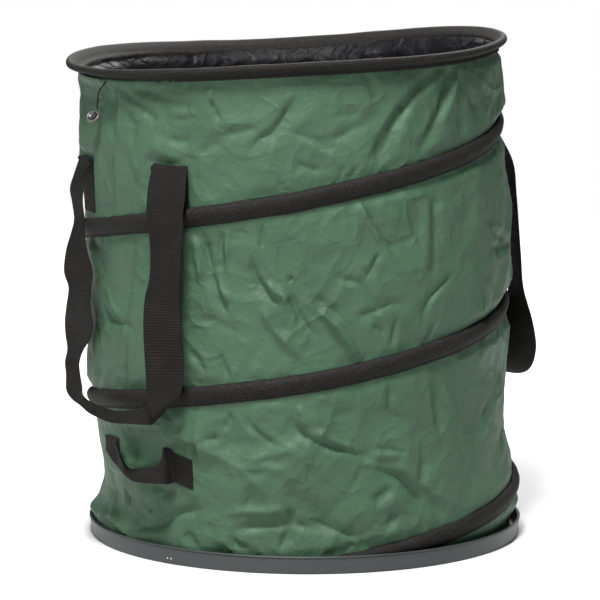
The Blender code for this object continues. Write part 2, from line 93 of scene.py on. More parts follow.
def smooth_curve(stops: Sequence[Sequence[float]], count: int) -> Array:
    """Points on a smooth curve through a few stops, evenly spaced between them.

    Args:
        stops: rows of numbers, one row for each stop.
        count: how many points to return.

    Returns:
        One row for each point.
    """
    rows = np.array(stops, float)
    padded = np.vstack([2 * rows[0] - rows[1], rows, 2 * rows[-1] - rows[-2]])
    where = np.linspace(0, len(rows) - 1, count)
    index = np.minimum(where.astype(int), len(rows) - 2)
    t = (where - index)[:, None]
    before, start, end, after = (padded[index + k] for k in range(4))
    return 0.5 * (
        2 * start
        + (end - before) * t
        + (2 * before - 5 * start + 4 * end - after) * t**2
        + (3 * start - before - 3 * end + after) * t**3
    )


@dataclass(frozen=True)
class Ripples:
    """Smooth random waves over the unrolled bag, the same each run.

    Attributes:
        seed: picks the waves.
        across: waves round the bag.
        up: waves over its height.
    """

    seed: int
    across: int
    up: int

    def at(self, azimuth: Array, share: Array) -> Array:
        """The waves' value, about -1 to 1.

        Args:
            azimuth: degrees round the bag.
            share: share of the bag's height.

        Returns:
            One value for each place.
        """
        table = np.random.default_rng(self.seed).uniform(-1, 1, (self.across, self.up + 2))
        x = np.mod(azimuth / 360.0, 1.0) * self.across
        y = np.clip(share, 0, 1) * self.up
        column, row = np.floor(x).astype(int), np.minimum(y.astype(int), self.up)
        u, v = x - column, y - row
        u, v = u * u * (3 - 2 * u), v * v * (3 - 2 * v)
        left, right = column % self.across, (column + 1) % self.across
        low = table[left, row] * (1 - u) + table[right, row] * u
        high = table[left, row + 1] * (1 - u) + table[right, row + 1] * u
        return low * (1 - v) + high * v

    def around(self, azimuth: Array) -> Array:
        """The value of waves that run round the bag only."""
        return self.at(azimuth, np.zeros(np.shape(azimuth)))


@dataclass(frozen=True)
class Facets:
    """Flat facets with straight creases between them, as in crumpled cloth.

    Attributes:
        seed: picks the facets.
        size: a facet's rough size in metres.
        slant: turns the facets' long way, in degrees.
        stretch: how much longer than wide they are.
        rows: cells upwards after which they repeat.
    """

    seed: int
    size: float
    slant: float = 0.0
    stretch: float = 1.0
    rows: int = 64

    def _nearest(self, x: Array, y: Array, seed: int, columns: int) -> Array:
        """Squared distance, in cells, to the nearest of one set of scattered points."""
        table = np.random.default_rng(seed).uniform(0, 1, (2, columns, self.rows))
        column, row = np.floor(x).astype(int), np.floor(y).astype(int)
        best = np.full(x.shape, np.inf)
        for i in range(-2, 3):
            for j in range(-2, 3):
                cell = ((column + i) % columns, (row + j) % self.rows)
                away_x = column + i + table[0][cell] - x
                away_y = row + j + table[1][cell] - y
                best = np.minimum(best, away_x**2 + away_y**2)
        return best

    def at(self, along: Array, up: Array, girth: float) -> Array:
        """The facets' height, about -1 to 1.

        Args:
            along: metres round the bag.
            up: metres up the bag.
            girth: metres all the way round.

        Returns:
            One height for each place.
        """
        columns = max(3, round(girth / self.size))
        scale = columns / girth
        lean = math.tan(math.radians(self.slant))
        x = along * scale + lean * up * scale
        y = up * scale / self.stretch
        one = self._nearest(x, y, self.seed, columns)
        other = self._nearest(x, y, self.seed + 1, columns)
        return one - other


@dataclass(frozen=True)
class BagShape:
    """The bag's leaning, tilted drum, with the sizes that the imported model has.

    Attributes:
        height: top of the rim, on the bag's own axis.
        top_lean: how far the rim's middle stands to the left.
        rim_tilt: degrees, the right side being the higher one.
        rim_sag: front and back of the rim below its two sides.
        rim_wave: the rim's three-fold warp.
        radius: outer face of the green cloth.
        gap: between pieces that touch.
        pitch: rise of the tape in one turn.
        tape_at_front: height of the tape's middle where it starts.
        tape_drop: the first turn starts lower than the pitch says.
        tape_ease: degrees in which it has caught up.
        tape_wave: the tape stands this much higher on the right.
        tape_width: width of the tape.
        tape_start: degrees where the tape comes out of the tray.
        tape_end: degrees where it reaches the rim.
        tape_beyond: degrees before its start and after its end where the cloth still makes way.
        right_belly: how far the cloth and its tape belly out above the tray on the right.
        belly_rise: heights between which that belly begins.
        belly_fall: heights between which it ends.
    """

    height: float = 0.6285
    top_lean: float = 0.026
    rim_tilt: float = 3.25
    rim_sag: float = 0.003
    rim_wave: float = 0.0038
    radius: float = 0.268
    gap: float = 0.0004
    pitch: float = 0.224
    tape_at_front: float = 0.0107
    tape_drop: float = 0.0090
    tape_ease: float = 150.0
    tape_wave: float = 0.0060
    tape_width: float = 0.0250
    tape_start: float = 3.0
    tape_end: float = 947.0
    tape_beyond: Pair = (4.0, 12.0)
    right_belly: float = 0.0080
    belly_rise: Pair = (0.020, 0.045)
    belly_fall: Pair = (0.060, 0.100)

    @property
    def girth(self) -> float:
        """Metres round the green cloth."""
        return math.tau * self.radius

    def point(self, azimuth: Array, height: Array, radius: Array) -> Array:
        """Places on the leaning bag.

        Args:
            azimuth: degrees from the front.
            height: metres up the bag's axis.
            radius: metres from it.

        Returns:
            Rows of x, y, z.
        """
        azimuth, height, radius = np.broadcast_arrays(
            np.asarray(azimuth, float), np.asarray(height, float), np.asarray(radius, float))
        share = height / self.height
        turn = np.radians(azimuth)
        tilt = math.radians(self.rim_tilt) * share
        belly = smooth_step(height, *self.belly_rise) * (1 - smooth_step(height, *self.belly_fall))
        radius = radius + self.right_belly * belly * np.maximum(np.sin(turn), 0)**4
        across = radius * np.sin(turn)
        return np.stack([
            -self.top_lean * share + across * np.cos(tilt),
            -radius * np.cos(turn),
            height + across * np.sin(tilt) + self.warp(share, turn),
        ], axis=-1)

    def warp(self, share: Array, turn: Array) -> Array:
        """How far the rim's warp lifts places, by their share of the height and radians round."""
        return share**6 * (self.rim_wave * np.cos(3 * turn) - self.rim_sag * np.cos(2 * turn))

    def vector(self, azimuth: float, height: float, radius: float) -> Vector:
        """One place on the bag."""
        return Vector(self.point(azimuth, height, radius))

    def frame(self, azimuth: float, height: float, radius: float) -> tuple[Vector, Vector, Vector, Vector]:
        """A place with the directions of the cloth there.

        Args:
            azimuth: degrees from the front.
            height: metres up the bag's axis.
            radius: metres from it.

        Returns:
            The place, and the sideways, outward and upward directions.
        """
        place = self.vector(azimuth, height, radius)
        sideways = self.vector(azimuth + 1, height, radius) - self.vector(azimuth - 1, height, radius)
        rising = self.vector(azimuth, height + self.gap, radius) - place
        outwards = sideways.cross(rising).normalized()
        sideways.normalize()
        return place, sideways, outwards, outwards.cross(sideways)

    def tape_height(self, turned: Array) -> Array:
        """Height of the tape's middle after so many degrees round the bag."""
        drop = self.tape_drop * np.maximum(0.0, 1 - turned / self.tape_ease)
        wave = self.tape_wave * np.maximum(0.0, np.sin(np.radians(turned)))
        return self.tape_at_front + self.pitch * turned / 360.0 - drop + wave

    def tape_distance(self, azimuth: Array, height: Array) -> Array:
        """Metres up or down from the nearest turn of the tape to each place.

        Args:
            azimuth: degrees from the front.
            height: metres up the bag's axis.

        Returns:
            Positive above the nearest turn and negative below it.
        """
        before, after = self.tape_beyond
        best = np.full(np.shape(azimuth), 1.0)
        for turn in range(3):
            turned = np.mod(azimuth, 360.0) + 360.0 * turn
            away = height - self.tape_height(turned)
            on_tape = (turned >= self.tape_start - before) & (turned <= self.tape_end + after)
            best = np.where(on_tape & (np.abs(away) < np.abs(best)), away, best)
        return best


@dataclass(frozen=True)
class PhotoView:
    """The camera that the photograph was taken with, as far as its perspective tells.

    Attributes:
        eye: where it stands.
        aim: the place that it points at.
        focal: its focal length in pixels of the photograph.
        aim_pixel: where the aimed place lies in the photograph.
        roll: radians that the photograph is turned by.
        frame_size: pixels along each side of the photograph.
        sensor: the render camera's sensor, in millimetres.
        tries: how often a place on the bag is worked out, each time nearer.
    """

    eye: tuple[float, float, float] = (0.0, -4.5, 0.9554)
    aim: tuple[float, float, float] = (0.0, 0.0, 0.34)
    focal: float = 3507.5
    aim_pixel: Pixel = (305.37, 269.99)
    roll: float = -0.0034
    frame_size: float = 600.0
    sensor: float = 36.0
    tries: int = 20

    def _axes(self) -> tuple[Array, Array, Array]:
        """Forward, right and up of the picture."""
        forward = np.array(self.aim) - np.array(self.eye)
        forward /= np.linalg.norm(forward)
        right = np.array([1.0, 0.0, 0.0])
        up = np.cross(right, forward)
        c, s = math.cos(self.roll), math.sin(self.roll)
        return forward, c * right + s * up, -s * right + c * up

    def rays(self, pixels: Sequence[Pixel]) -> Array:
        """Directions from the eye through pixels of the photograph.

        Args:
            pixels: places in the 600 by 600 frame.

        Returns:
            Unit vectors, one row for each pixel.
        """
        forward, right, up = self._axes()
        where = np.array(pixels, float)
        x = where[:, 0] - self.aim_pixel[0]
        y = self.aim_pixel[1] - where[:, 1]
        ray = forward * self.focal + x[:, None] * right + y[:, None] * up
        return ray / np.linalg.norm(ray, axis=1)[:, None]

    def on_bag(self, shape: BagShape, pixels: Sequence[Pixel], stand_off: Array = 0.0) -> Array:
        """Where pixels lie on the bag's front, at a distance off its cloth.

        Args:
            shape: the bag.
            pixels: places in the photograph.
            stand_off: metres off the cloth.

        Returns:
            Rows of azimuth and height.
        """
        ray = self.rays(pixels)
        eye = np.array(self.eye)
        radius = shape.radius + np.broadcast_to(stand_off, len(ray))
        azimuth, height = np.zeros(len(ray)), np.full(len(ray), shape.height / 2)
        for _ in range(self.tries):
            share = height / shape.height
            centre = -shape.top_lean * share
            ox = eye[0] - centre
            a = ray[:, 0]**2 + ray[:, 1]**2
            b = 2 * (ox * ray[:, 0] + eye[1] * ray[:, 1])
            c = ox**2 + eye[1]**2 - radius**2
            root = np.sqrt(np.maximum(b * b - 4 * a * c, 0))
            t = (-b - root) / (2 * a)
            x, y, z = (eye[k] + t * ray[:, k] for k in range(3))
            azimuth = np.degrees(np.arctan2(x - centre, -y))
            height = z - (x - centre) * np.sin(math.radians(shape.rim_tilt) * share)
            height = height - shape.warp(share, np.radians(azimuth))
        return np.stack([azimuth, height], axis=-1)

    def on_cloth(self, shape: BagShape, pixels: Sequence[Pixel]) -> Array:
        """Where pixels lie on the unrolled green cloth, as rows of metres round it and up it."""
        where = self.on_bag(shape, pixels)
        return np.stack([np.radians(where[:, 0]) * shape.radius, where[:, 1]], axis=-1)

    def make_camera(self) -> None:
        """The render camera, turned so that the photograph's middle is its own."""
        forward, right, up = self._axes()
        half = self.frame_size / 2
        middle = forward * self.focal
        middle = middle + (half - self.aim_pixel[0]) * right + (self.aim_pixel[1] - half) * up
        data = bpy.data.cameras.new("photo_camera")
        data.sensor_width = self.sensor
        data.lens = self.focal / self.frame_size * self.sensor
        camera = bpy.data.objects.new("photo_camera", data)
        camera.location = self.eye
        turn = Vector(middle).to_track_quat("-Z", "Y")
        camera.rotation_euler = (turn @ Euler((0, 0, -self.roll)).to_quaternion()).to_euler()
        bpy.context.collection.objects.link(camera)
        bpy.context.scene.camera = camera


class Wrap(Enum):
    """Which ways a sheet's grid closes on itself."""

    OPEN = "open"
    ROUND = "round"
    TUBE = "tube"
    RING = "ring"


def grid_piece(
    name: str,
    columns: int,
    rows: int,
    place: Callable[[Array, Array], Array],
    wrap: Wrap = Wrap.OPEN,
    cloth_size: Pair = (1.0, 1.0),
    sharp: Optional[float] = None,
) -> Piece:
    """A piece made from a flat grid, whose points are moved to their places.

    Args:
        name: the piece's name.
        columns: faces along the grid.
        rows: faces across it.
        place: gives x, y, z for arrays of column and row numbers.
        wrap: ROUND joins the last column to the first, TUBE the last row to the first, RING both.
        cloth_size: metres that the whole grid stands for, which its UV map is in.
        sharp: edges over so many degrees stay sharp.

    Returns:
        The piece, at the origin, with its faces pointing out.
    """
    mesh = bmesh.new()
    mesh.loops.layers.uv.new("cloth")
    bmesh.ops.create_grid(mesh, x_segments=columns, y_segments=rows, size=0.5, calc_uvs=True)
    data = bpy.data.meshes.new(name)
    mesh.to_mesh(data)
    mesh.free()
    flat = np.empty(len(data.vertices) * 3)
    data.vertices.foreach_get("co", flat)
    flat = flat.reshape(-1, 3)
    column = np.rint((flat[:, 0] + 0.5) * columns).astype(int)
    row = np.rint((flat[:, 1] + 0.5) * rows).astype(int)
    loops = np.empty(len(data.loops), int)
    data.loops.foreach_get("vertex_index", loops)
    uv = np.stack([column[loops] / columns * cloth_size[0], row[loops] / rows * cloth_size[1]], axis=-1)
    data.uv_layers["cloth"].data.foreach_set("uv", uv.ravel())
    round_column = column % columns if wrap in (Wrap.ROUND, Wrap.RING) else column
    round_row = row % rows if wrap in (Wrap.TUBE, Wrap.RING) else row
    data.vertices.foreach_set("co", place(round_column, round_row).astype(float).ravel())
    mesh = bmesh.new()
    mesh.from_mesh(data)
    if wrap is not Wrap.OPEN:
        edge = [v for v in mesh.verts if v.is_boundary]
        bmesh.ops.remove_doubles(mesh, verts=edge, dist=WELD)
    if wrap in (Wrap.TUBE, Wrap.ROUND):
        rims = [e for e in mesh.edges if e.is_boundary]
        bmesh.ops.holes_fill(mesh, edges=rims, sides=0)
    close_mesh(mesh, data)
    return show(name, data, sharp)


def close_mesh(mesh: bmesh.types.BMesh, data: bpy.types.Mesh) -> None:
    """Turn a shape's faces outwards and write it to its mesh.

    Args:
        mesh: the shape, which is freed.
        data: where it goes.
    """
    bmesh.ops.recalc_face_normals(mesh, faces=mesh.faces)
    if mesh.calc_volume(signed=True) < 0:
        bmesh.ops.reverse_faces(mesh, faces=mesh.faces)
    mesh.to_mesh(data)
    mesh.free()


def show(name: str, data: bpy.types.Mesh, sharp: Optional[float] = None) -> Piece:
    """Link a finished mesh as an object, shaded smooth.

    Args:
        name: the object's name.
        data: its mesh.
        sharp: edges over so many degrees stay sharp.

    Returns:
        The object.
    """
    piece = bpy.data.objects.new(name, data)
    bpy.context.collection.objects.link(piece)
    data.shade_smooth()
    if sharp is not None:
        data.set_sharp_from_angle(angle=math.radians(sharp))
    return piece


def spun_shape(points: Sequence[Sequence[float]], steps: int) -> bmesh.types.BMesh:
    """Turn half an outline about the upright axis.

    Args:
        points: the outline, from the axis to the axis.
        steps: faces round the shape.

    Returns:
        The shape.
    """
    mesh = bmesh.new()
    verts = [mesh.verts.new(point) for point in points]
    edges = [mesh.edges.new(pair) for pair in zip(verts, verts[1:])]
    bmesh.ops.spin(mesh, geom=verts + edges, cent=(0, 0, 0), axis=(0, 0, 1), angle=math.tau,
                   steps=steps, use_merge=True)
    bmesh.ops.remove_doubles(mesh, verts=mesh.verts, dist=WELD)
    return mesh


def dress(piece: Piece, finish: Material, body: str) -> None:
    """Give a piece its finish and the body that it rides on.

    Args:
        piece: the piece.
        finish: its material.
        body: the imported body.
    """
    piece.data.materials.clear()
    piece.data.materials.append(finish)
    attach(piece, body)
    log.info("%s: %d faces, rides on %s", piece.name, len(piece.data.polygons), body)


@dataclass(frozen=True)
class Collapse:
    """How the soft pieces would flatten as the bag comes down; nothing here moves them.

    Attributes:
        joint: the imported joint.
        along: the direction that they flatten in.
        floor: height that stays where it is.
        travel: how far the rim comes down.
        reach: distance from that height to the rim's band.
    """

    joint: str = "collapse"
    along: tuple[float, float, float] = (-0.039989, 0.0, 0.9992)
    floor: float = 0.013
    travel: float = 0.48
    reach: float = 0.6045

    @property
    def keep(self) -> float:
        """Share of the height that is left."""
        return 1 - self.travel / self.reach

    def flatten(self, piece: Piece, anchor: Optional[Sequence[float]] = None) -> None:
        """Give a piece its own copy of its mesh; the piece is not flattened."""
        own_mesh(piece)


class Nodes:
    """A short way to write a material's nodes."""

    def __init__(self, name: str) -> None:
        """Start a material with its Principled shader.

        Args:
            name: the material's name.
        """
        self.material = bpy.data.materials.new(name)
        self.material.use_nodes = True
        self.tree = self.material.node_tree
        self.shader = self.tree.nodes["Principled BSDF"]
        self.coordinates = self.tree.nodes.new("ShaderNodeTexCoord")

    def add(self, kind: str, inputs: Optional[dict[Union[str, int], Value]] = None,
            **settings: str) -> bpy.types.Node:
        """Add a node.

        Args:
            kind: its Blender type, without the ShaderNode in front.
            inputs: values or outputs for its sockets, by name or number.
            **settings: its own settings.

        Returns:
            The node.
        """
        node = self.tree.nodes.new("ShaderNode" + kind)
        for name, value in settings.items():
            setattr(node, name, value)
        for name, value in (inputs or {}).items():
            self.feed(node.inputs[name], value)
        return node

    def feed(self, socket: Socket, value: Value) -> None:
        """Link an output to a socket, or set the socket's value."""
        if isinstance(value, Socket):
            self.tree.links.new(value, socket)
        else:
            socket.default_value = value

    def mapped(self, scale: Sequence[float], source: str) -> Socket:
        """Scaled coordinates: Object, or UV for the piece's own cloth."""
        inputs = {"Vector": self.coordinates.outputs[source], "Scale": tuple(scale)}
        return self.add("Mapping", inputs).outputs["Vector"]

    def noise(self, scale: float, detail: float = 3.0, vector: Optional[Socket] = None,
              distortion: float = 0.0) -> Socket:
        """A cloudy pattern's factor."""
        inputs = {"Scale": scale, "Detail": detail, "Distortion": distortion}
        inputs["Vector"] = vector or self.coordinates.outputs["Object"]
        return self.add("TexNoise", inputs).outputs["Fac"]

    def creases(self, scale: float, detail: float = 1.0) -> Socket:
        """Sharp ridges between smooth hollows, as in crumpled cloth.

        Args:
            scale: folds in a metre.
            detail: how many finer folds they carry.

        Returns:
            The height's output, highest on the ridges.
        """
        cloud = self.noise(scale, detail, distortion=0.7)
        away = self.math("ABSOLUTE", self.math("SUBTRACT", cloud, 0.5))
        return self.math("SUBTRACT", 1.0, self.math("MULTIPLY", away, 4.0))

    def ramp(self, factor: Socket, start: Pair, end: Pair) -> Socket:
        """A value that runs from one stop to another.

        Args:
            factor: the output that drives it.
            start: factor and value where it starts.
            end: factor and value where it ends.

        Returns:
            The value's output.
        """
        node = self.add("ValToRGB", {"Fac": factor})
        for element, (where, value) in zip(node.color_ramp.elements, (start, end)):
            element.position = where
            element.color = (value,) * 3 + (1.0,)
        return node.outputs["Color"]

    def math(self, operation: str, *values: Value) -> Socket:
        """The result of a sum or another operation."""
        return self.add("Math", dict(enumerate(values)), operation=operation).outputs[0]

    def mix(self, factor: Socket, one: Colour, other: Colour) -> Socket:
        """A colour between two colours."""
        inputs = {0: factor, 6: (*one, 1.0), 7: (*other, 1.0)}
        return self.add("Mix", inputs, data_type="RGBA").outputs[2]

    def bump(self, height: Socket, strength: float, depth: float,
             below: Optional[Socket] = None) -> Socket:
        """A normal raised by a pattern.

        Args:
            height: the pattern's output.
            strength: how much of it counts.
            depth: metres between its 0 and 1.
            below: the normal output that it adds to.

        Returns:
            The normal's output.
        """
        inputs = {"Height": height, "Strength": strength, "Distance": depth}
        if below is not None:
            inputs["Normal"] = below
        return self.add("Bump", inputs).outputs["Normal"]

    def finish(self, **sockets: Value) -> Material:
        """Feed the shader's sockets and give the material back.

        Args:
            **sockets: values by socket name, with _ for a space.

        Returns:
            The material.
        """
        for name, value in sockets.items():
            self.feed(self.shader.inputs[name.replace("_", " ")], value)
        return self.material


@dataclass(frozen=True)
class GreenCloth:
    """Creased green polyester.

    Attributes:
        lit: its colour.
        deep: its colour in duller places.
        roughness: of the weave.
        relief: metres that its small creases stand up.
    """

    lit: Colour = (0.048, 0.101, 0.058)
    deep: Colour = (0.041, 0.089, 0.050)
    roughness: float = 0.58
    relief: float = 0.0034

    def material(self) -> Material:
        """The cloth's material, with its fine creases and weave."""
        n = Nodes("green_cloth")
        cloud = n.ramp(n.noise(9.0, 4.0), (0.32, 0.0), (0.68, 1.0))
        colour = n.mix(cloud, self.lit, self.deep)
        normal = n.bump(n.creases(11.0), 1.0, self.relief)
        normal = n.bump(n.creases(27.0, 0.5), 1.0, self.relief * 0.45, normal)
        normal = n.bump(n.creases(60.0, 1.0), 1.0, self.relief * 0.13, normal)
        normal = n.bump(n.noise(170.0, 3.0, distortion=0.6), 0.25, 0.0005, normal)
        weave = n.add("TexWave", {"Vector": n.mapped((1.0, 1.0, 1.0), "UV"), "Scale": 380.0})
        normal = n.bump(weave.outputs["Fac"], 0.06, 0.0002, normal)
        rough = n.math("ADD", self.roughness, n.math("MULTIPLY", cloud, 0.06))
        return n.finish(Base_Color=colour, Roughness=rough, Normal=normal, Specular_IOR_Level=0.30)


@dataclass(frozen=True)
class LiningFilm:
    """Shiny black coated lining.

    Attributes:
        colour: its black.
        roughness: of its coated face.
    """

    colour: Colour = (0.006, 0.006, 0.007)
    roughness: float = 0.50

    def material(self) -> Material:
        """The lining's material, with its small hard wrinkles."""
        n = Nodes("lining_film")
        normal = n.bump(n.creases(22.0), 1.0, 0.0040)
        normal = n.bump(n.creases(60.0), 1.0, 0.0010, normal)
        cloud = n.ramp(n.noise(30.0, 3.0), (0.3, 0.0), (0.7, 1.0))
        rough = n.math("ADD", self.roughness, n.math("MULTIPLY", cloud, 0.16))
        return n.finish(Base_Color=(*self.colour, 1.0), Roughness=rough, Normal=normal,
                        Specular_IOR_Level=0.16)


@dataclass(frozen=True)
class BlackTape:
    """Matte black woven tape, with fine ribs across it.

    Attributes:
        colour: its black.
        highlight_fleck: the colour of the threads that catch the light.
        roughness: of its weave.
        rib: metres from rib to rib, along the tape.
    """

    colour: Colour = (0.0095, 0.0090, 0.0086)
    highlight_fleck: Colour = (0.040, 0.035, 0.033)
    roughness: float = 0.74
    rib: float = 0.0011

    def material(self) -> Material:
        """The tape's material."""
        n = Nodes("black_tape")
        along = n.mapped((1.0, 1.0, 1.0), "UV")
        ribs = n.add("TexWave", {"Vector": along, "Scale": 1 / self.rib / math.tau * 2, "Distortion": 0.8,
                                 "Detail": 1.0, "Detail Scale": 3.0}, bands_direction="X")
        # Painted glints: scattered threads are coloured paler, as if they caught the light.
        glint_flecks = n.ramp(n.noise(420.0, 2.0), (0.52, 0.0), (0.70, 1.0))
        cloud = n.ramp(n.noise(16.0, 3.0), (0.35, 0.0), (0.75, 1.0))
        share = n.math("MULTIPLY", glint_flecks, n.math("ADD", 0.35, n.math("MULTIPLY", cloud, 0.5)))
        colour = n.mix(share, self.colour, self.highlight_fleck)
        normal = n.bump(ribs.outputs["Fac"], 0.30, 0.0004)
        normal = n.bump(n.noise(130.0, 3.0), 0.25, 0.0006, normal)
        return n.finish(Base_Color=colour, Roughness=self.roughness, Normal=normal,
                        Specular_IOR_Level=0.16)


@dataclass(frozen=True)
class BlackWebbing:
    """Ribbed black webbing, with a painted highlight on the tops of its ribs.

    Attributes:
        colour: its black.
        highlight_fleck: the colour of the painted highlight on the tops of the ribs.
        roughness: of its yarn.
        rib: metres from rib to rib, along the strap.
    """

    colour: Colour = (0.0075, 0.0068, 0.0064)
    highlight_fleck: Colour = (0.023, 0.019, 0.018)
    roughness: float = 0.78
    rib: float = 0.0029

    def material(self) -> Material:
        """The webbing's material, with ribs across the strap."""
        n = Nodes("black_webbing")
        along = n.mapped((1.0, 1.0, 1.0), "UV")
        ribs = n.add("TexWave", {"Vector": along, "Scale": 1 / self.rib / math.tau * 2, "Distortion": 0.5,
                                 "Detail": 2.0, "Detail Scale": 2.0}, bands_direction="Y")
        yarn = n.add("TexWave", {"Vector": along, "Scale": 260.0, "Distortion": 1.2}, bands_direction="X")
        patches = n.ramp(n.noise(45.0, 3.0), (0.38, 0.25), (0.66, 1.0))
        # Painted highlight: the tops of the ribs are coloured paler, in patches, as if they caught the
        # light.
        lit_rib_tops = n.ramp(ribs.outputs["Fac"], (0.45, 0.0), (1.0, 1.0))
        share = n.math("MULTIPLY", lit_rib_tops, n.math("MULTIPLY", patches, 0.8))
        colour = n.mix(share, self.colour, self.highlight_fleck)
        normal = n.bump(ribs.outputs["Fac"], 0.55, 0.0008)
        normal = n.bump(yarn.outputs["Fac"], 0.2, 0.0003, normal)
        return n.finish(Base_Color=colour, Roughness=self.roughness, Normal=normal,
                        Specular_IOR_Level=0.14)


@dataclass(frozen=True)
class TrayPlastic:
    """Grey-green moulded plastic with a fine grain.

    Attributes:
        colour: its grey-green.
        scuff: its colour where it is scuffed.
        roughness: of its grain.
    """

    colour: Colour = (0.035, 0.042, 0.0415)
    scuff: Colour = (0.066, 0.075, 0.074)
    roughness: float = 0.46

    def material(self) -> Material:
        """The plastic's material."""
        n = Nodes("tray_plastic")
        marks = n.ramp(n.noise(30.0, 8.0, n.mapped((1.0, 1.0, 6.0), "Object")), (0.58, 0.0), (0.80, 1.0))
        colour = n.mix(n.math("MULTIPLY", marks, 0.5), self.colour, self.scuff)
        normal = n.bump(n.noise(900.0, 2.0), 0.12, 0.0002)
        normal = n.bump(n.noise(9.0, 2.0), 0.10, 0.002, normal)
        rough = n.math("ADD", self.roughness, n.math("MULTIPLY", marks, 0.14))
        return n.finish(Base_Color=colour, Roughness=rough, Normal=normal)


@dataclass(frozen=True)
class PlainFinish:
    """A finish of one colour with a fine mottle: thread, steel, rubber or floor cloth.

    Attributes:
        name: the material's name.
        colour: its colour.
        mottle: its second colour.
        roughness: its roughness.
        metallic: 1 where it is bare metal.
        grain: how often its grain repeats in a metre.
        relief: metres of its grain.
    """

    name: str
    colour: Colour
    mottle: Colour
    roughness: float
    metallic: float = 0.0
    grain: float = 400.0
    relief: float = 0.0002

    def material(self) -> Material:
        """The material."""
        n = Nodes(self.name)
        cloud = n.ramp(n.noise(self.grain / 4, 4.0), (0.35, 0.0), (0.7, 1.0))
        colour = n.mix(cloud, self.colour, self.mottle)
        rough = n.math("ADD", self.roughness, n.math("MULTIPLY", cloud, 0.08))
        normal = n.bump(n.noise(self.grain, 2.0), 0.3, self.relief)
        return n.finish(Base_Color=colour, Roughness=rough, Metallic=self.metallic, Normal=normal)


@dataclass(frozen=True)
class ButtonPlastic:
    """Dark plastic with a painted highlight: a paler ring round its edge.

    Attributes:
        middle: the button's middle.
        radius: the button's radius.
        dark: its colour.
        edge: the colour of the painted highlight round its edge.
    """

    middle: tuple[float, float, float]
    radius: float
    dark: Colour = (0.012, 0.011, 0.010)
    edge: Colour = (0.085, 0.080, 0.075)

    def material(self) -> Material:
        """The button's material."""
        n = Nodes("button_plastic")
        # Painted highlight: the face turns paler towards its rim, as if the rim caught the light.
        away = n.add("VectorMath", {0: n.coordinates.outputs["Object"], 1: self.middle},
                     operation="DISTANCE").outputs["Value"]
        share = n.math("ADD", n.math("DIVIDE", away, self.radius), n.math("MULTIPLY", n.noise(300.0), 0.12))
        colour = n.mix(n.ramp(share, (0.78, 0.0), (1.0, 1.0)), self.dark, self.edge)
        return n.finish(Base_Color=colour, Roughness=0.28)


class Lies(Enum):
    """What a fold does to the cloth."""

    VALLEY = -1.0
    RIDGE = 1.0


@dataclass(frozen=True)
class Fold:
    """One fold of the green cloth, as it runs in the photograph.

    Attributes:
        lies: valley or ridge.
        depth: millimetres.
        left: millimetres that it spreads to the left of its run.
        right: the same to the right.
        run: the pixels that it passes.
        round_bottom: True where its bottom is round and not a crease.
        steepness: of the slopes beside a crease.
        end_fade: shares of its run over which its ends fade in.
    """

    lies: Lies
    depth: float
    left: float
    right: float
    run: tuple[Pixel, ...]
    round_bottom: bool = False
    steepness: float = 1.8
    end_fade: Pair = (-0.05, 0.30)

    def relief(self, along: Array, up: Array, path: Array) -> Array:
        """The fold's height at places of the unrolled cloth.

        Args:
            along: metres round the bag, from the front.
            up: metres up the bag.
            path: its run in the same metres.

        Returns:
            Metres in or out, one for each place.
        """
        reach = max(self.left, self.right) * MM
        low, high = path.min(axis=0) - reach, path.max(axis=0) + reach
        near = (along > low[0]) & (along < high[0]) & (up > low[1]) & (up < high[1])
        result = np.zeros(along.shape)
        if not near.any():
            return result
        x, y = along[near], up[near]
        lengths = np.linalg.norm(np.diff(path, axis=0), axis=1)
        total = lengths.sum()
        best = np.full(x.shape, np.inf)
        side = np.zeros(x.shape)
        where = np.zeros(x.shape)
        done = 0.0
        for start, end, length in zip(path, path[1:], lengths):
            way = (end - start) / length
            t = np.clip((x - start[0]) * way[0] + (y - start[1]) * way[1], 0, length)
            away_x, away_y = x - start[0] - way[0] * t, y - start[1] - way[1] * t
            away = np.hypot(away_x, away_y)
            nearer = away < best
            best = np.where(nearer, away, best)
            side = np.where(nearer, way[0] * away_y - way[1] * away_x, side)
            where = np.where(nearer, (done + t) / total, where)
            done += length
        spread = np.where(side > 0, self.left * MM, self.right * MM)
        share = np.clip(1 - best / spread, 0, 1)
        form = share**2 * (3 - 2 * share) if self.round_bottom else share**self.steepness
        fade = smooth_step(np.minimum(where, 1 - where), *self.end_fade)
        result[near] = self.lies.value * (self.depth * MM) * form * fade
        return result


V, R = Lies.VALLEY, Lies.RIDGE

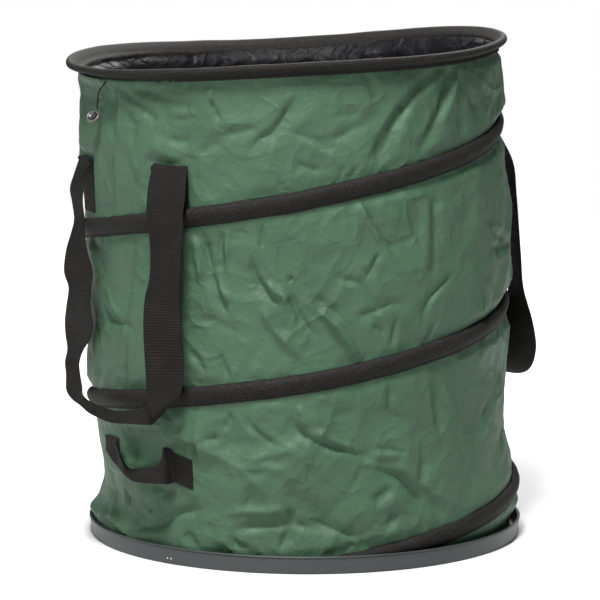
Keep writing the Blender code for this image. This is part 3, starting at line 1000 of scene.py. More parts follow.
FOLDS: tuple[Fold, ...] = tuple(Fold(*row) for row in (
    # upper panel, left half
    (V, 2.6, 16, 9, ((113, 85), (129, 102), (147, 116), (160, 125))),
    (V, 1.6, 14, 14, ((122, 87), (147, 93), (177, 105), (200, 110))),
    (V, 2.4, 7, 9, ((209, 99), (214, 112), (219.5, 122))),
    (R, 1.6, 7, 9, ((211, 86), (209, 101))),
    (V, 1.6, 12, 18, ((214, 138), (233, 134), (250, 130), (262, 124))),
    (V, 1.0, 10, 10, ((168, 121), (186, 120.5), (204, 119))),
    (V, 1.0, 10, 10, ((167, 143), (194, 141))),
    (R, 2.2, 24, 13, ((149, 147), (168, 156), (186, 165))),
    (V, 1.8, 12, 10, ((186, 154), (190, 168), (196, 187))),
    (V, 1.8, 16, 16, ((197, 160), (212, 144), (226, 148))),
    (V, 2.6, 18, 18, ((106, 92), (109, 110), (107, 130)), True),
    (R, 2.0, 14, 12, ((131, 159), (138, 170), (145, 193))),
    (V, 1.6, 14, 14, ((114, 95), (127, 118), (134, 132), (131, 156))),
    # upper panel, right half
    (V, 3.0, 22, 9, ((297, 96), (288, 107), (281, 120), (270.5, 133), (258, 139), (248, 152))),
    (V, 1.8, 16, 10, ((284, 133.5), (303, 136.5), (320, 143), (333, 152.5))),
    (V, 1.5, 12, 12, ((326, 143), (342, 135), (352, 129), (369, 121))),
    (V, 1.2, 8, 14, ((331, 115.5), (348, 114), (358, 115.5))),
    (V, 1.2, 8, 12, ((346, 105), (351, 109), (358, 116))),
    (V, 1.8, 8, 12, ((293, 162), (309, 168), (321, 171.5))),
    (V, 1.6, 6, 8, ((343, 165), (340, 176), (337, 183))),
    (V, 1.4, 6, 8, ((359, 164), (354, 171), (348, 180))),
    (V, 1.4, 6, 8, ((276, 180), (284, 189))),
    (V, 5.0, 19, 15, ((436, 66), (425, 79), (411, 98), (401, 111), (391, 127), (381, 147),
      (370, 165), (365, 174)), True),
    (R, 3.2, 13, 15, ((442, 67), (431, 82), (415, 101), (404, 117), (392, 138))),
    (V, 3.6, 16, 12, ((451, 64), (446, 81), (443, 94), (438, 110), (428, 132), (417, 152)), True),
    (R, 2.6, 11, 14, ((455, 66), (451, 85), (444, 105), (436, 127))),
    (V, 2.0, 18, 12, ((457, 64), (457, 97), (459, 141)), True),
    (V, 1.8, 14, 10, ((462, 84), (474, 111), (477, 130)), True),
    (R, 1.6, 8, 10, ((479, 92), (482, 124))),
    # middle panel, left of the loop's leg
    (V, 2.2, 15, 12, ((104, 300), (111, 320), (119, 322), (128, 326), (142, 337))),
    (R, 1.8, 12, 14, ((105, 301), (118, 313), (128, 325))),
    (V, 1.6, 10, 10, ((99, 322), (102, 345), (104, 358)), True),
    (R, 1.6, 8, 10, ((111, 324), (106, 340), (104, 356))),
    (V, 2.4, 12, 10, ((104, 362), (99, 380), (96, 392)), True),
    (R, 1.8, 10, 10, ((116, 362), (108, 380), (102, 390))),
    (R, 1.6, 10, 12, ((138, 268), (141, 278), (148, 281))),
    # middle panel, right of the loop's leg
    (R, 3.0, 12, 10, ((193, 234), (196, 252), (199.5, 268), (200, 284))),
    (V, 3.4, 9, 15, ((200, 231), (205, 245), (208, 263), (213, 280), (217, 292), (223, 308),
      (231.5, 324))),
    (R, 2.2, 9, 10, ((215, 287), (225, 295), (229, 304))),
    (V, 2.0, 8, 8, ((221, 229), (220, 250), (223, 262))),
    (R, 1.8, 8, 9, ((226, 232), (226, 254), (230, 280))),
    (V, 1.6, 6, 7, ((262, 226), (261, 251))),
    (V, 3.4, 10, 12, ((250, 256), (253.5, 273), (260, 286), (273, 301), (284, 307))),
    (R, 2.6, 9, 9, ((265, 281), (274, 291), (285, 297), (284, 308))),
    (R, 3.4, 12, 12, ((258, 306), (267, 317), (277, 332), (290, 345), (303, 360))),
    (V, 2.8, 9, 10, ((290, 293), (297, 312), (310, 330), (320, 337))),
    (R, 3.4, 13, 11, ((302, 289), (312, 304), (323, 314), (337, 327), (345, 338), (356, 357))),
    (V, 1.8, 6, 8, ((292.5, 276), (288, 284))),
    (V, 2.2, 16, 10, ((305, 297), (320, 306), (338, 318)), True),
    (V, 1.8, 12, 14, ((199, 320), (215, 322), (231, 330), (243, 334))),
    (V, 2.2, 8, 12, ((219, 352), (224, 367), (230, 382))),
    (V, 2.0, 8, 10, ((190, 350), (200, 362), (208, 374))),
    # middle panel, right
    (R, 2.4, 9, 9, ((355, 202), (366, 218), (373, 230), (381, 247))),
    (V, 2.0, 7, 10, ((366, 206), (374, 222), (381, 236), (398, 254))),
    (V, 2.0, 12, 8, ((379, 249), (371, 266), (363, 279))),
    (V, 2.2, 12, 8, ((330, 277), (345, 280), (360, 283), (372, 300), (383, 308))),
    (V, 2.0, 10, 10, ((358, 325), (361, 314), (377, 309), (390, 302), (405, 305))),
    (V, 1.8, 8, 12, ((371, 325), (380, 328), (384, 335))),
    (V, 2.0, 8, 8, ((397, 315), (393, 330), (391, 348))),
    (R, 3.4, 12, 10, ((320, 310), (337, 326), (348, 341), (356, 352), (366, 362))),
    (R, 2.6, 18, 16, ((423, 192), (425, 220), (425, 250), (423, 275)), True),
    (V, 3.0, 12, 16, ((432, 190), (431, 225), (429, 255), (427, 280)), True),
    (V, 2.2, 8, 10, ((451, 270), (437, 286), (426, 298), (419, 320))),
    (V, 2.0, 12, 12, ((479, 217), (490, 232), (499, 242), (478, 250)), True),
    (R, 1.6, 7, 7, ((476, 290), (478, 303), (477, 320))),
    (V, 2.0, 8, 10, ((433, 320), (430, 332), (424, 345))),
    # lower panel
    (V, 2.2, 7, 9, ((231, 411), (230, 420), (224, 432))),
    (V, 2.6, 8, 9, ((249, 414), (250, 425), (262, 436), (280, 448))),
    (R, 3.0, 26, 22, ((178, 437), (200, 447), (222, 458), (242, 469), (262, 488), (276, 505))),
    (R, 2.0, 12, 12, ((242, 468), (262, 467), (290, 469))),
    (R, 2.2, 12, 12, ((242, 469), (262, 457), (288, 451), (315, 455))),
    (V, 2.0, 10, 10, ((203, 441), (222, 438))),
    (V, 3.6, 14, 9, ((147, 532), (165, 524), (182, 514), (205, 510))),
    (V, 3.0, 9, 8, ((106, 517), (117, 528), (130, 538))),
    (R, 2.4, 8, 8, ((110, 510), (121, 524), (130, 537))),
    (V, 2.4, 10, 8, ((132, 536), (143, 530), (152, 526))),
    (V, 3.4, 14, 9, ((231, 533), (252, 528), (272, 526), (292, 525), (330, 531))),
    (V, 2.6, 10, 10, ((290, 509), (295, 518), (293, 525))),
    (V, 2.4, 10, 12, ((233, 534), (238, 545), (254, 550))),
    (V, 2.4, 14, 14, ((187, 530), (192, 542), (205, 552)), True),
    (V, 2.6, 12, 10, ((293, 526), (287, 538), (281, 552))),
    (R, 2.4, 12, 10, ((222, 516), (240, 512), (270, 512), (292, 508))),
    (V, 3.2, 8, 12, ((290, 415), (300, 432), (316, 442), (340, 447), (372, 456))),
    (R, 2.8, 9, 9, ((306, 428), (320, 433), (345, 446), (371, 455))),
    (R, 2.4, 12, 10, ((297, 404), (304, 418), (306, 430))),
    (V, 4.4, 16, 11, ((371, 458), (384, 468), (400, 477), (418, 494), (450, 518)), True),
    (R, 2.6, 10, 10, ((371, 455), (388, 454), (404, 455))),
    (V, 2.4, 8, 10, ((376, 450), (392, 449), (408, 452))),
    (R, 2.4, 14, 10, ((355, 462), (378, 465), (400, 470), (420, 484))),
    (V, 2.2, 8, 10, ((388, 379), (391, 394), (390, 408), (402, 424))),
    (V, 2.6, 14, 14, ((432, 372), (438, 392), (441, 420), (446, 445)), True),
    (R, 2.4, 12, 12, ((436, 370), (446, 394), (458, 420), (470, 450), (478, 480)), True),
    (V, 2.2, 12, 12, ((428, 452), (424, 470), (420, 486), (430, 500)), True),
    (V, 3.4, 16, 10, ((310, 520), (330, 527), (350, 534), (362, 539))),
    (R, 2.4, 14, 12, ((362, 540), (372, 534), (395, 529), (402, 533))),
    (V, 2.4, 12, 12, ((372, 505), (382, 495), (395, 486)), True),
    (V, 2.2, 12, 12, ((398, 510), (391, 525), (380, 536)), True),
    (V, 2.4, 10, 12, ((355, 541), (350, 552))),
    (V, 2.8, 16, 16, ((120, 438), (140, 450), (158, 452)), True),
    (V, 2.4, 8, 8, ((121, 487), (124, 497), (128, 507))),
    (V, 2.6, 14, 10, ((150, 490), (160, 493), (166, 498))),
    (V, 1.6, 6, 6, ((152, 503), (150, 515))),
))


@dataclass
class SideWall:
    """The green cloth: one sheet round the bag, creased as in the photograph.

    Attributes:
        shape: the bag.
        view: the photograph's camera.
        columns: faces round the bag.
        outer_rows: rows of the outer face.
        inner_rows: rows of the inner face.
        bottom: lowest edge, on the bag's right.
        bottom_rise: how much higher that edge is on its left.
        top: upper edge under the rim's band, on the bag's right.
        top_drop: how much lower that edge is on its left.
        depth: from the outer face to the inner one.
        hem: the same at its edges.
        slack: how far the cloth stands out between the tape's turns.
        bends: how far the crumples bend, round the bag and up it.
        crumples: height and facets of each crumple, the widest first.
        fold_share: how much of the folds' own depth counts.
        tape_pucker: of the small puckers beside the tape.
        rim_pucker: of those under the rim's band.
        pucker_reach: how far they reach from the tape and from the band.
        band: height of the rim's band.
        off_tape: distances from the tape's edge between which the cloth comes free.
        off_rim: the same from the rim's top.
        off_tray: heights between which it comes free above the tray.
        off_strap: distances from a sewn strap between which it comes free.
        front_share: how much closer the columns stand in front.
        deepest: how far a crease stands in at most.
        highest_share: how far one stands out at most, as a share of that.
        foot_flare: how far the cloth bellies out just above the tray.
        foot_rise: heights between which it begins to.
        foot_fall: heights between which it ceases to.
        hollow: azimuth, height and depth of the hollow behind the tipping handle.
        sewn: azimuth, half turn, lowest and highest place of each strap end that is sewn on.
        left_profile: heights and how far the left side stands out there.
        right_profile: the same for the right side.
    """

    shape: BagShape
    view: PhotoView
    columns: int = 430
    outer_rows: int = 204
    inner_rows: int = 18
    bottom: float = 0.0032
    bottom_rise: float = 0.0105
    top: float = 0.6165
    top_drop: float = 0.0030
    depth: float = 0.0100
    hem: float = 0.0012
    slack: float = 0.0015
    bends: Pair = (0.018, 0.016)
    crumples: tuple[tuple[float, Facets], ...] = (
        (6.5 * MM, Facets(11, 0.135, 24, 1.5)), (6.5 * MM, Facets(17, 0.068, -26, 1.4)),
        (2.6 * MM, Facets(23, 0.034, 16, 1.2)), (0.5 * MM, Facets(27, 0.015, -10, 1.2)))
    fold_share: float = 2.2
    tape_pucker: float = 1.3 * MM
    rim_pucker: float = 0.8 * MM
    pucker_reach: Pair = (0.011, 0.014)
    band: float = 0.0175
    off_tape: Pair = (-0.001, 0.015)
    off_rim: Pair = (0.0165, 0.030)
    off_tray: Pair = (0.020, 0.034)
    off_strap: Pair = (0.002, 0.014)
    front_share: float = 0.66
    deepest: float = 0.0105
    highest_share: float = 1.4
    foot_flare: float = 0.0060
    foot_rise: Pair = (0.008, 0.018)
    foot_fall: Pair = (0.022, 0.048)
    hollow: tuple[float, float, float] = (-48.5, 0.142, 0.012)
    sewn: tuple[tuple[float, float, float, float], ...] = (
        (-32.8, 5.4, 0.430, 0.507), (-72.8, 5.4, 0.430, 0.507),
        (107.2, 5.4, 0.430, 0.507), (147.2, 5.4, 0.430, 0.507),
        (-62.8, 4.3, 0.107, 0.147), (-34.2, 4.3, 0.107, 0.147))
    left_profile: tuple[Pair, ...] = (
        (0.0, 0.0), (0.034, 0.001), (0.050, -0.007), (0.070, -0.013), (0.089, -0.011), (0.120, -0.008),
        (0.150, -0.004), (0.195, 0.006), (0.25, 0.003), (0.33, 0.0), (0.39, -0.003), (0.43, -0.003),
        (0.50, 0.0), (0.535, -0.001), (0.56, -0.004), (0.585, -0.006), (0.61, -0.005), (0.63, -0.004))
    right_profile: tuple[Pair, ...] = (
        (0.0, 0.0), (0.03, 0.001), (0.06, 0.004), (0.105, 0.0), (0.131, -0.004), (0.158, -0.005),
        (0.197, -0.001), (0.229, 0.001), (0.28, 0.006), (0.33, 0.010), (0.40, 0.009), (0.47, 0.009),
        (0.51, 0.006), (0.56, 0.003), (0.59, 0.004), (0.63, 0.004))

    def side_offset(self, azimuth: Array, height: Array) -> Array:
        """How far the two sides stand out or in, which the silhouette shows."""
        side = np.sin(np.radians(azimuth))
        left = np.interp(height, *np.array(self.left_profile).T) * np.maximum(-side, 0)**2
        right = np.interp(height, *np.array(self.right_profile).T) * np.maximum(side, 0)**2
        return left + right

    def held(self, azimuth: Array, height: Array) -> Array:
        """1 where a sewn strap holds the cloth flat, 0 away from it."""
        share = np.zeros_like(height)
        for middle, half_turn, low, high in self.sewn:
            aside = np.abs(np.mod(azimuth - middle + 180, 360) - 180) - half_turn
            beyond = np.maximum(low - height, height - high)
            away = np.maximum(np.radians(aside) * self.shape.radius, beyond)
            share = np.maximum(share, 1 - smooth_step(away, *self.off_strap))
        return share

    def clear_of_tape(self, azimuth: Array, height: Array) -> Array:
        """0 under the tape and under the sewn straps, 1 well away from them."""
        away = np.abs(self.shape.tape_distance(azimuth, height)) - self.shape.tape_width / 2
        clear = smooth_step(away, *self.off_tape)
        clear = clear * smooth_step(self.shape.height - height, *self.off_rim)
        return clear * smooth_step(height, *self.off_tray) * (1 - self.held(azimuth, height))

    def relief(self, azimuth: Array, height: Array) -> Array:
        """Metres that the cloth stands in or out at each place.

        Args:
            azimuth: degrees from the front.
            height: metres up the bag's axis.

        Returns:
            Metres, one for each place.
        """
        relief = self.crumpled(azimuth, height)
        along = np.radians(azimuth) * self.shape.radius
        for fold in FOLDS:
            path = self.view.on_cloth(self.shape, fold.run)
            relief += self.fold_share * fold.relief(along, height, path)
        relief += self.puckers(azimuth, height)
        relief -= self.dent(azimuth, height)
        low, high = self.deepest, self.highest_share * self.deepest
        relief = np.where(relief < 0, low * np.tanh(relief / low), high * np.tanh(relief / high))
        clear = self.clear_of_tape(azimuth, height)
        wall = (self.slack + relief) * clear
        return wall + self.side_offset(azimuth, height) * clear + self.foot(azimuth, height)

    def crumpled(self, azimuth: Array, height: Array) -> Array:
        """The crumples that the whole cloth has, which are deeper low down and behind.

        Args:
            azimuth: degrees from the front.
            height: metres up the bag's axis.

        Returns:
            Metres, one for each place.
        """
        shape = self.shape
        share = height / shape.height
        x = np.radians(azimuth) * shape.radius + self.bends[0] * Ripples(3, 14, 6).at(azimuth, share)
        y = height + self.bends[1] * Ripples(4, 12, 5).at(azimuth, share)
        patches = smooth_step(Ripples(5, 9, 4).at(azimuth, share), -0.7, 0.6)
        rough = 0.35 + 0.75 * patches + 0.5 * (1 - smooth_step(height, 0.15, 0.24))
        (size, facets), *smaller = self.crumples
        total = size * facets.at(x, y, shape.girth)
        for size, facets in smaller:
            total += size * facets.at(x, y, shape.girth) * rough
        behind = smooth_step(np.abs(azimuth), 70.0, 110.0)
        return total * (0.75 + 0.4 * behind)

    def puckers(self, azimuth: Array, height: Array) -> Array:
        """The small puckers that sewing leaves beside the tape and under the rim's band.

        Args:
            azimuth: degrees from the front.
            height: metres up the bag's axis.

        Returns:
            Metres, one for each place.
        """
        shape = self.shape
        waves = Ripples(29, 130, 1).around(azimuth) + 0.6 * Ripples(31, 260, 1).around(azimuth)
        away = np.abs(shape.tape_distance(azimuth, height)) - shape.tape_width / 2
        by_tape = self.tape_pucker * waves * np.exp(-np.maximum(away, 0) / self.pucker_reach[0])
        below = np.maximum(shape.height - self.band - height, 0)
        near_top = np.exp(-below / self.pucker_reach[1])
        return by_tape + self.rim_pucker * Ripples(37, 150, 1).around(azimuth) * near_top

    def dent(self, azimuth: Array, height: Array) -> Array:
        """How deep the hollow behind the tipping handle is at each place.

        Args:
            azimuth: degrees from the front.
            height: metres up the bag's axis.

        Returns:
            Metres, one for each place.
        """
        middle, level, depth = self.hollow
        aside = smooth_step(np.abs(azimuth - middle), 5.0, 10.0)
        return depth * (1 - aside) * (1 - smooth_step(np.abs(height - level), 0.016, 0.030))

    def foot(self, azimuth: Array, height: Array) -> Array:
        """How far the cloth bellies out over the tray's wall on the left."""
        near = smooth_step(height, *self.foot_rise) * (1 - smooth_step(height, *self.foot_fall))
        return self.foot_flare * near * np.maximum(-np.sin(np.radians(azimuth)), 0)**2

    def edges(self, azimuth: Array) -> tuple[Array, Array]:
        """The sheet's two edges, which slant so that they stay hidden as the bag flattens."""
        left = 0.5 - 0.5 * np.sin(np.radians(azimuth))
        return self.bottom + self.bottom_rise * left, self.top - self.top_drop * left

    def build(self, finish: Material, collapse: Collapse) -> Piece:
        """Make and dress the sheet."""
        rows = self.outer_rows + self.inner_rows
        columns = self.columns

        def place(column: Array, row: Array) -> Array:
            """The places of the grid's points."""
            turn = column / columns
            azimuth = -180 + 360 * (turn + self.front_share * np.sin(math.tau * turn) / math.tau)
            low, high = self.edges(azimuth)
            outside = row < self.outer_rows
            up = np.where(outside, row / (self.outer_rows - 1),
                          1 - (row - self.outer_rows) / (self.inner_rows - 1))
            height = low + (high - low) * up
            relief = self.relief(azimuth, height)
            ends = smooth_step(np.minimum(up, 1 - up), 0.0, 0.04)
            base = self.side_offset(azimuth, height) * self.clear_of_tape(azimuth, height)
            base = base + self.foot(azimuth, height)
            inner = base - self.hem - (self.depth - self.hem) * ends
            return self.shape.point(azimuth, height, self.shape.radius + np.where(outside, relief, inner))

        piece = grid_piece("side_wall_cloth", columns, rows, place, Wrap.RING,
                           (self.shape.girth, 2 * self.top))
        dress(piece, finish, "base")
        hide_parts("side_wall")
        collapse.flatten(piece)
        return piece


@dataclass
class Lining:
    """The shiny crumpled lining that the mouth shows.

    Attributes:
        shape: the bag.
        wall: the green cloth that it hangs in.
        columns: faces round the bag.
        rows: rows of the face that the mouth shows.
        back_rows: rows of the face against the green cloth.
        thickness: of the film.
        bottom: lower edge, on the bag's right.
        bottom_rise: how much higher that edge is on its left.
        top: upper edge under the rim's collar.
        bend: how far the crumples bend.
        stand_off: how far its folds stand off on the whole.
        crumples: size and facets of each crumple.
        limits: how far the crumples stand in and out at most.
    """

    shape: BagShape
    wall: SideWall
    columns: int = 420
    rows: int = 110
    back_rows: int = 26
    thickness: float = 0.0011
    bottom: float = 0.0145
    bottom_rise: float = 0.008
    top: float = 0.6160
    bend: float = 0.010
    stand_off: float = 3.2 * MM
    crumples: tuple[tuple[float, Facets], ...] = (
        (2.6 * MM, Facets(53, 0.060, 30, 1.2)), (1.8 * MM, Facets(57, 0.028, -25, 1.2)),
        (0.7 * MM, Facets(59, 0.013, 10, 1.0)))
    limits: Pair = (-2.9 * MM, 4.0 * MM)

    def build(self, finish: Material, collapse: Collapse) -> Piece:
        """Make and dress the lining."""
        shape = self.shape

        def place(column: Array, row: Array) -> Array:
            """The places of the grid's points."""
            azimuth = 360.0 * column / self.columns
            inside = row < self.rows
            up = np.where(inside, row / (self.rows - 1), 1 - (row - self.rows) / (self.back_rows - 1))
            low = self.bottom + self.bottom_rise * (0.5 - 0.5 * np.sin(np.radians(azimuth)))
            height = low + (self.top - low) * up
            base = self.wall.side_offset(azimuth, height) * self.wall.clear_of_tape(azimuth, height)
            ends = smooth_step(np.minimum(up, 1 - up), 0.0, 0.03)
            back = -self.wall.hem - shape.gap - (self.wall.depth - self.wall.hem) * ends
            along = np.radians(azimuth) * shape.radius
            share = height / shape.height
            x = along + self.bend * Ripples(51, 20, 9).at(azimuth, share)
            y = height + self.bend * Ripples(52, 20, 9).at(azimuth, share)
            crumple = sum(size * facets.at(x, y, shape.girth) for size, facets in self.crumples)
            front = back - self.thickness - ends * (self.stand_off + np.clip(crumple, *self.limits))
            return shape.point(azimuth, height, shape.radius + base + np.where(inside, front, back))

        piece = grid_piece("inner_lining_film", self.columns, self.rows + self.back_rows, place, Wrap.RING,
                           (shape.girth, 2 * self.top))
        dress(piece, finish, "base")
        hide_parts("inner_lining")
        collapse.flatten(piece)
        return piece


@dataclass
class SpiralTape:
    """The black tape that winds up the bag, with the spring wire in its pocket.

    Attributes:
        shape: the bag.
        steps: faces along the tape.
        section_steps: faces round its section.
        cloth: thickness of the tape.
        wire: thickness of the spring wire.
        pocket_rise: the wire lies this far above the tape's middle.
        crown_share: how far the pocket reaches below the wire, as a share of half the tape.
        run_out: degrees that the tape goes on under the rim's band.
        cap_length: of the caps on the wire's ends.
        lowest: where the tape ends in the tray.
        under_rim: how far below the rim's top it ends.
    """

    shape: BagShape
    steps: int = 1100
    section_steps: int = 44
    cloth: float = 0.0012
    wire: float = 0.0045
    pocket_rise: float = 0.0040
    crown_share: float = 1.02
    run_out: float = 14.0
    cap_length: float = 0.0090
    lowest: float = 0.0030
    under_rim: float = 0.0125

    @property
    def wire_radius(self) -> float:
        """Distance of the wire's middle from the bag's axis."""
        return self.shape.radius + 2 * self.shape.gap + self.cloth + self.wire / 2

    def section(self) -> Array:
        """The tape's closed outline, as rows of height and distance off the cloth."""
        half = self.shape.tape_width / 2
        back = self.shape.gap
        count = self.section_steps // 2
        share = np.linspace(-1, 1, count + 1)
        up = half * (0.86 * share + 0.14 * np.sin(share * math.pi / 2))
        reach = self.wire / 2 + self.shape.gap + self.cloth
        wide = np.where(up > self.pocket_rise, half - self.pocket_rise, half * self.crown_share)
        pocket = np.clip(1 - (np.abs(up - self.pocket_rise) / wide)**2.0, 0, 1)**0.75
        top = self.wire_radius - self.shape.radius + reach * 0.90
        front = back + self.cloth + (top - back - self.cloth) * pocket
        front[0] = front[-1] = back + self.cloth * 0.6
        outer = np.stack([up, front], axis=-1)
        inner = np.stack([up[::-1], np.full(count + 1, back)], axis=-1)
        return np.vstack([outer, inner[1:-1]])

    def build(self, finish: Material, collapse: Collapse) -> None:
        """Make and dress the tape."""
        shape = self.shape
        section = self.section()
        count = len(section)
        start, end = shape.tape_start - 1, shape.tape_end + self.run_out

        def place(column: Array, row: Array) -> Array:
            """The places of the grid's points."""
            turned = start + (end - start) * column / self.steps
            up, off = section[row % count].T
            share = column / self.steps
            wobble = 0.45 * MM * Ripples(71, 210, 1).around(360 * share)
            flat = smooth_step(turned, shape.tape_end - 30, shape.tape_end)
            off = off + (np.minimum(off, shape.gap + self.cloth) - off) * flat
            pucker = 0.28 * MM * Ripples(73, 900, 3).at(360 * share, (up / shape.tape_width + 0.5))
            height = shape.tape_height(turned) + up + wobble
            height = np.clip(height, self.lowest, shape.height - self.under_rim)
            front = off > shape.gap + 0.0002
            radius = shape.radius + off + np.where(front, pucker + 0.2 * MM, 0)
            return shape.point(turned, height, radius)

        length = math.radians(end - start) * shape.radius
        piece = grid_piece("spiral_tape", self.steps, count, place, Wrap.TUBE,
                           (length, 2 * shape.tape_width))
        dress(piece, finish, "base")
        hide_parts("spiral_sleeve")
        collapse.flatten(piece)

    def build_wire(self, steel: Material, rubber: Material, collapse: Collapse) -> None:
        """Make and dress the spring wire and the caps on its ends."""
        shape = self.shape
        set_back = 2.4
        sides = 12
        first, last = shape.tape_start + set_back, shape.tape_end - set_back
        cap_turn = math.degrees(self.cap_length / self.wire_radius)
        gap_turn = math.degrees(shape.gap / self.wire_radius)

        def tube(name: str, one: float, other: float, steps: int, taper: float) -> Piece:
            """A round length of wire between two angles, drawn in at its end."""

            def place(column: Array, row: Array) -> Array:
                """The places of the grid's points."""
                share = column / steps
                turned = one + (other - one) * share
                size = self.wire / 2 * np.where(share > 0.7, 1 - (1 - taper) * (share - 0.7) / 0.3, 1.0)
                angle = math.tau * row / sides
                height = shape.tape_height(turned) + self.pocket_rise + size * np.sin(angle)
                return shape.point(turned, height, self.wire_radius + size * np.cos(angle))

            return grid_piece(name, steps, sides, place, Wrap.TUBE,
                              (math.radians(abs(other - one)) * shape.radius, math.pi * self.wire))

        wire = tube("spring_wire", first, last, 700, 1.0)
        dress(wire, steel, "base")
        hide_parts("spiral_wire")
        lower = tube("lower_wire_cap", first - gap_turn, first - gap_turn - cap_turn, 10, 0.6)
        dress(lower, rubber, "base")
        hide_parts("wire_cap_lower")
        upper = tube("upper_wire_cap", last + gap_turn, last + gap_turn + cap_turn, 10, 0.6)
        dress(upper, rubber, "base")
        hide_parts("wire_cap_upper")
        for piece in (wire, lower, upper):
            collapse.flatten(piece)


@dataclass
class Rim:
    """The black binding that is folded over the rim's hoop.

    Attributes:
        shape: the bag.
        wall: the green cloth under its band.
        flare: how far the lip stands out from the green cloth.
        hoop: thickness of the hoop.
        sleeve_wall: wall of the sleeve over the hoop's joint.
        cloth: thickness of the binding.
        lining: room for the lining's edge under its collar.
        band_depth: lower edge of the band below the rim's top.
        collar_depth: the same inside.
        steps: faces round the rim.
    """

    shape: BagShape
    wall: SideWall
    flare: float = 0.015
    hoop: float = 0.0050
    sleeve_wall: float = 0.0006
    cloth: float = 0.0010
    lining: float = 0.0010
    band_depth: float = 0.0175
    collar_depth: float = 0.0215
    steps: int = 720

    def path(self) -> Array:
        """The binding's run from its band over the hoop to its collar, as radius and height."""
        shape = self.shape
        roll = self.hoop / 2 + 2 * shape.gap + self.sleeve_wall + self.cloth
        middle = shape.radius + self.flare - roll
        height = shape.height - roll
        inside = shape.radius - self.wall.hem - self.lining - 2 * shape.gap - self.cloth / 2
        band = shape.radius + shape.gap + self.cloth / 2
        half = roll - self.cloth / 2
        low = shape.height - self.band_depth
        turns = np.radians(np.linspace(-62, 118, 17))
        arc = np.stack([middle + half * np.cos(turns), height + half * np.sin(turns)], axis=-1)
        outer = np.array([(band, low), (band, low + 0.0022), (band + 0.0001, low + 0.0045),
                          (band + 0.0012, low + 0.0063), (middle - half * 0.35, height - half * 1.05)])
        inner = smooth_curve([tuple(arc[-1]), (inside + 0.0042, height - 0.0030),
                              (inside + 0.0008, height - 0.0085), (inside, height - 0.0125),
                              (inside, shape.height - self.collar_depth)], 14)[1:]
        return np.vstack([outer, arc, inner])

    def outline(self) -> Array:
        """The closed outline of the binding's section."""
        run = self.path()
        way = np.gradient(run, axis=0)
        way /= np.linalg.norm(way, axis=1)[:, None]
        normal = np.stack([way[:, 1], -way[:, 0]], axis=-1)
        outer = run + normal * self.cloth / 2
        inner = run - normal * self.cloth / 2
        return np.vstack([outer, inner[::-1]])

    def build(self, finish: Material) -> None:
        """Make and dress the binding."""
        shape = self.shape
        outline = self.outline()
        count = len(outline)
        half = count // 2
        low = shape.height - self.band_depth

        def place(column: Array, row: Array) -> Array:
            """The places of the grid's points."""
            azimuth = 360.0 * column / self.steps
            radius, height = outline[row].T
            along = np.where(row < half, row, count - 1 - row) / (half - 1)
            pucker = Ripples(81, 340, 4).at(azimuth, along) + 0.6 * Ripples(82, 120, 5).at(azimuth, along)
            on_band = 1 - smooth_step(along, 0.06, 0.26)
            lumps = Ripples(83, 70, 3).at(azimuth, along)
            collar = smooth_step(along, 0.75, 0.9)
            shift = MM * (0.42 * pucker * on_band + 0.45 * lumps * (1 - on_band)
                          - 1.4 * collar * np.abs(Ripples(84, 60, 4).at(azimuth, along)))
            follow = 1 - smooth_step(height, low + 0.002, low + 0.008)
            aside = self.wall.side_offset(azimuth, np.full_like(height, low))
            radius = radius + shift + aside * follow * 0.8
            dip = 0.35 * MM * Ripples(85, 46, 1).around(azimuth) * (1 - on_band)
            return shape.point(azimuth, height + dip, radius)

        piece = grid_piece("rim_binding_cloth", self.steps, count, place, Wrap.RING,
                           (math.tau * (shape.radius + self.flare), 0.08))
        dress(piece, finish, "rim")
        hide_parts("rim_binding")


@dataclass(frozen=True)
class Stop:
    """One place along a strap, as its two edges.

    Attributes:
        one: pixel of its first edge.
        other: pixel of its second edge.
        one_off: millimetres that the first edge stands off the cloth.
        other_off: the same for the second edge.
    """

    one: Pixel
    other: Pixel
    one_off: float
    other_off: float


@dataclass
class Ribbon:
    """A strap of webbing between two edges.

    Attributes:
        name: the piece's name.
        thickness: of the webbing.
        rows: faces along it.
        across: faces across one face of it.
        crown: how far its middle stands out.
    """

    name: str
    thickness: float = 0.0018
    rows: int = 150
    across: int = 8
    crown: float = 0.0006

    def build(self, one: Array, other: Array) -> Piece:
        """Make the strap.

        Args:
            one: points of its first edge, a row for each of its rows and one more.
            other: the same for its second edge.

        Returns:
            The strap, closed all round.
        """
        centre = (one + other) / 2
        along = np.gradient(centre, axis=0)
        along /= np.linalg.norm(along, axis=1)[:, None]
        across = other - one
        normal = np.cross(across, along)
        normal /= np.linalg.norm(normal, axis=1)[:, None]
        count = 2 * self.across + 2
        length = np.linalg.norm(np.diff(centre, axis=0), axis=1).sum()
        width = float(np.median(np.linalg.norm(across, axis=1)))

        def place(column: Array, row: Array) -> Array:
            """The places of the grid's points."""
            side = np.where(column <= self.across, 1.0, -1.0)
            share = np.where(column <= self.across, column, 2 * self.across + 1 - column) / self.across
            lift = self.crown * (1 - (2 * share - 1)**2) + side * self.thickness / 2
            edge = np.minimum(share, 1 - share)
            lift = lift - side * self.thickness * 0.18 * (edge < 0.01)
            return one[row] + across[row] * share[:, None] + normal[row] * lift[:, None]

        return grid_piece(self.name, count, self.rows, place, Wrap.ROUND, (2 * width, length), 60)


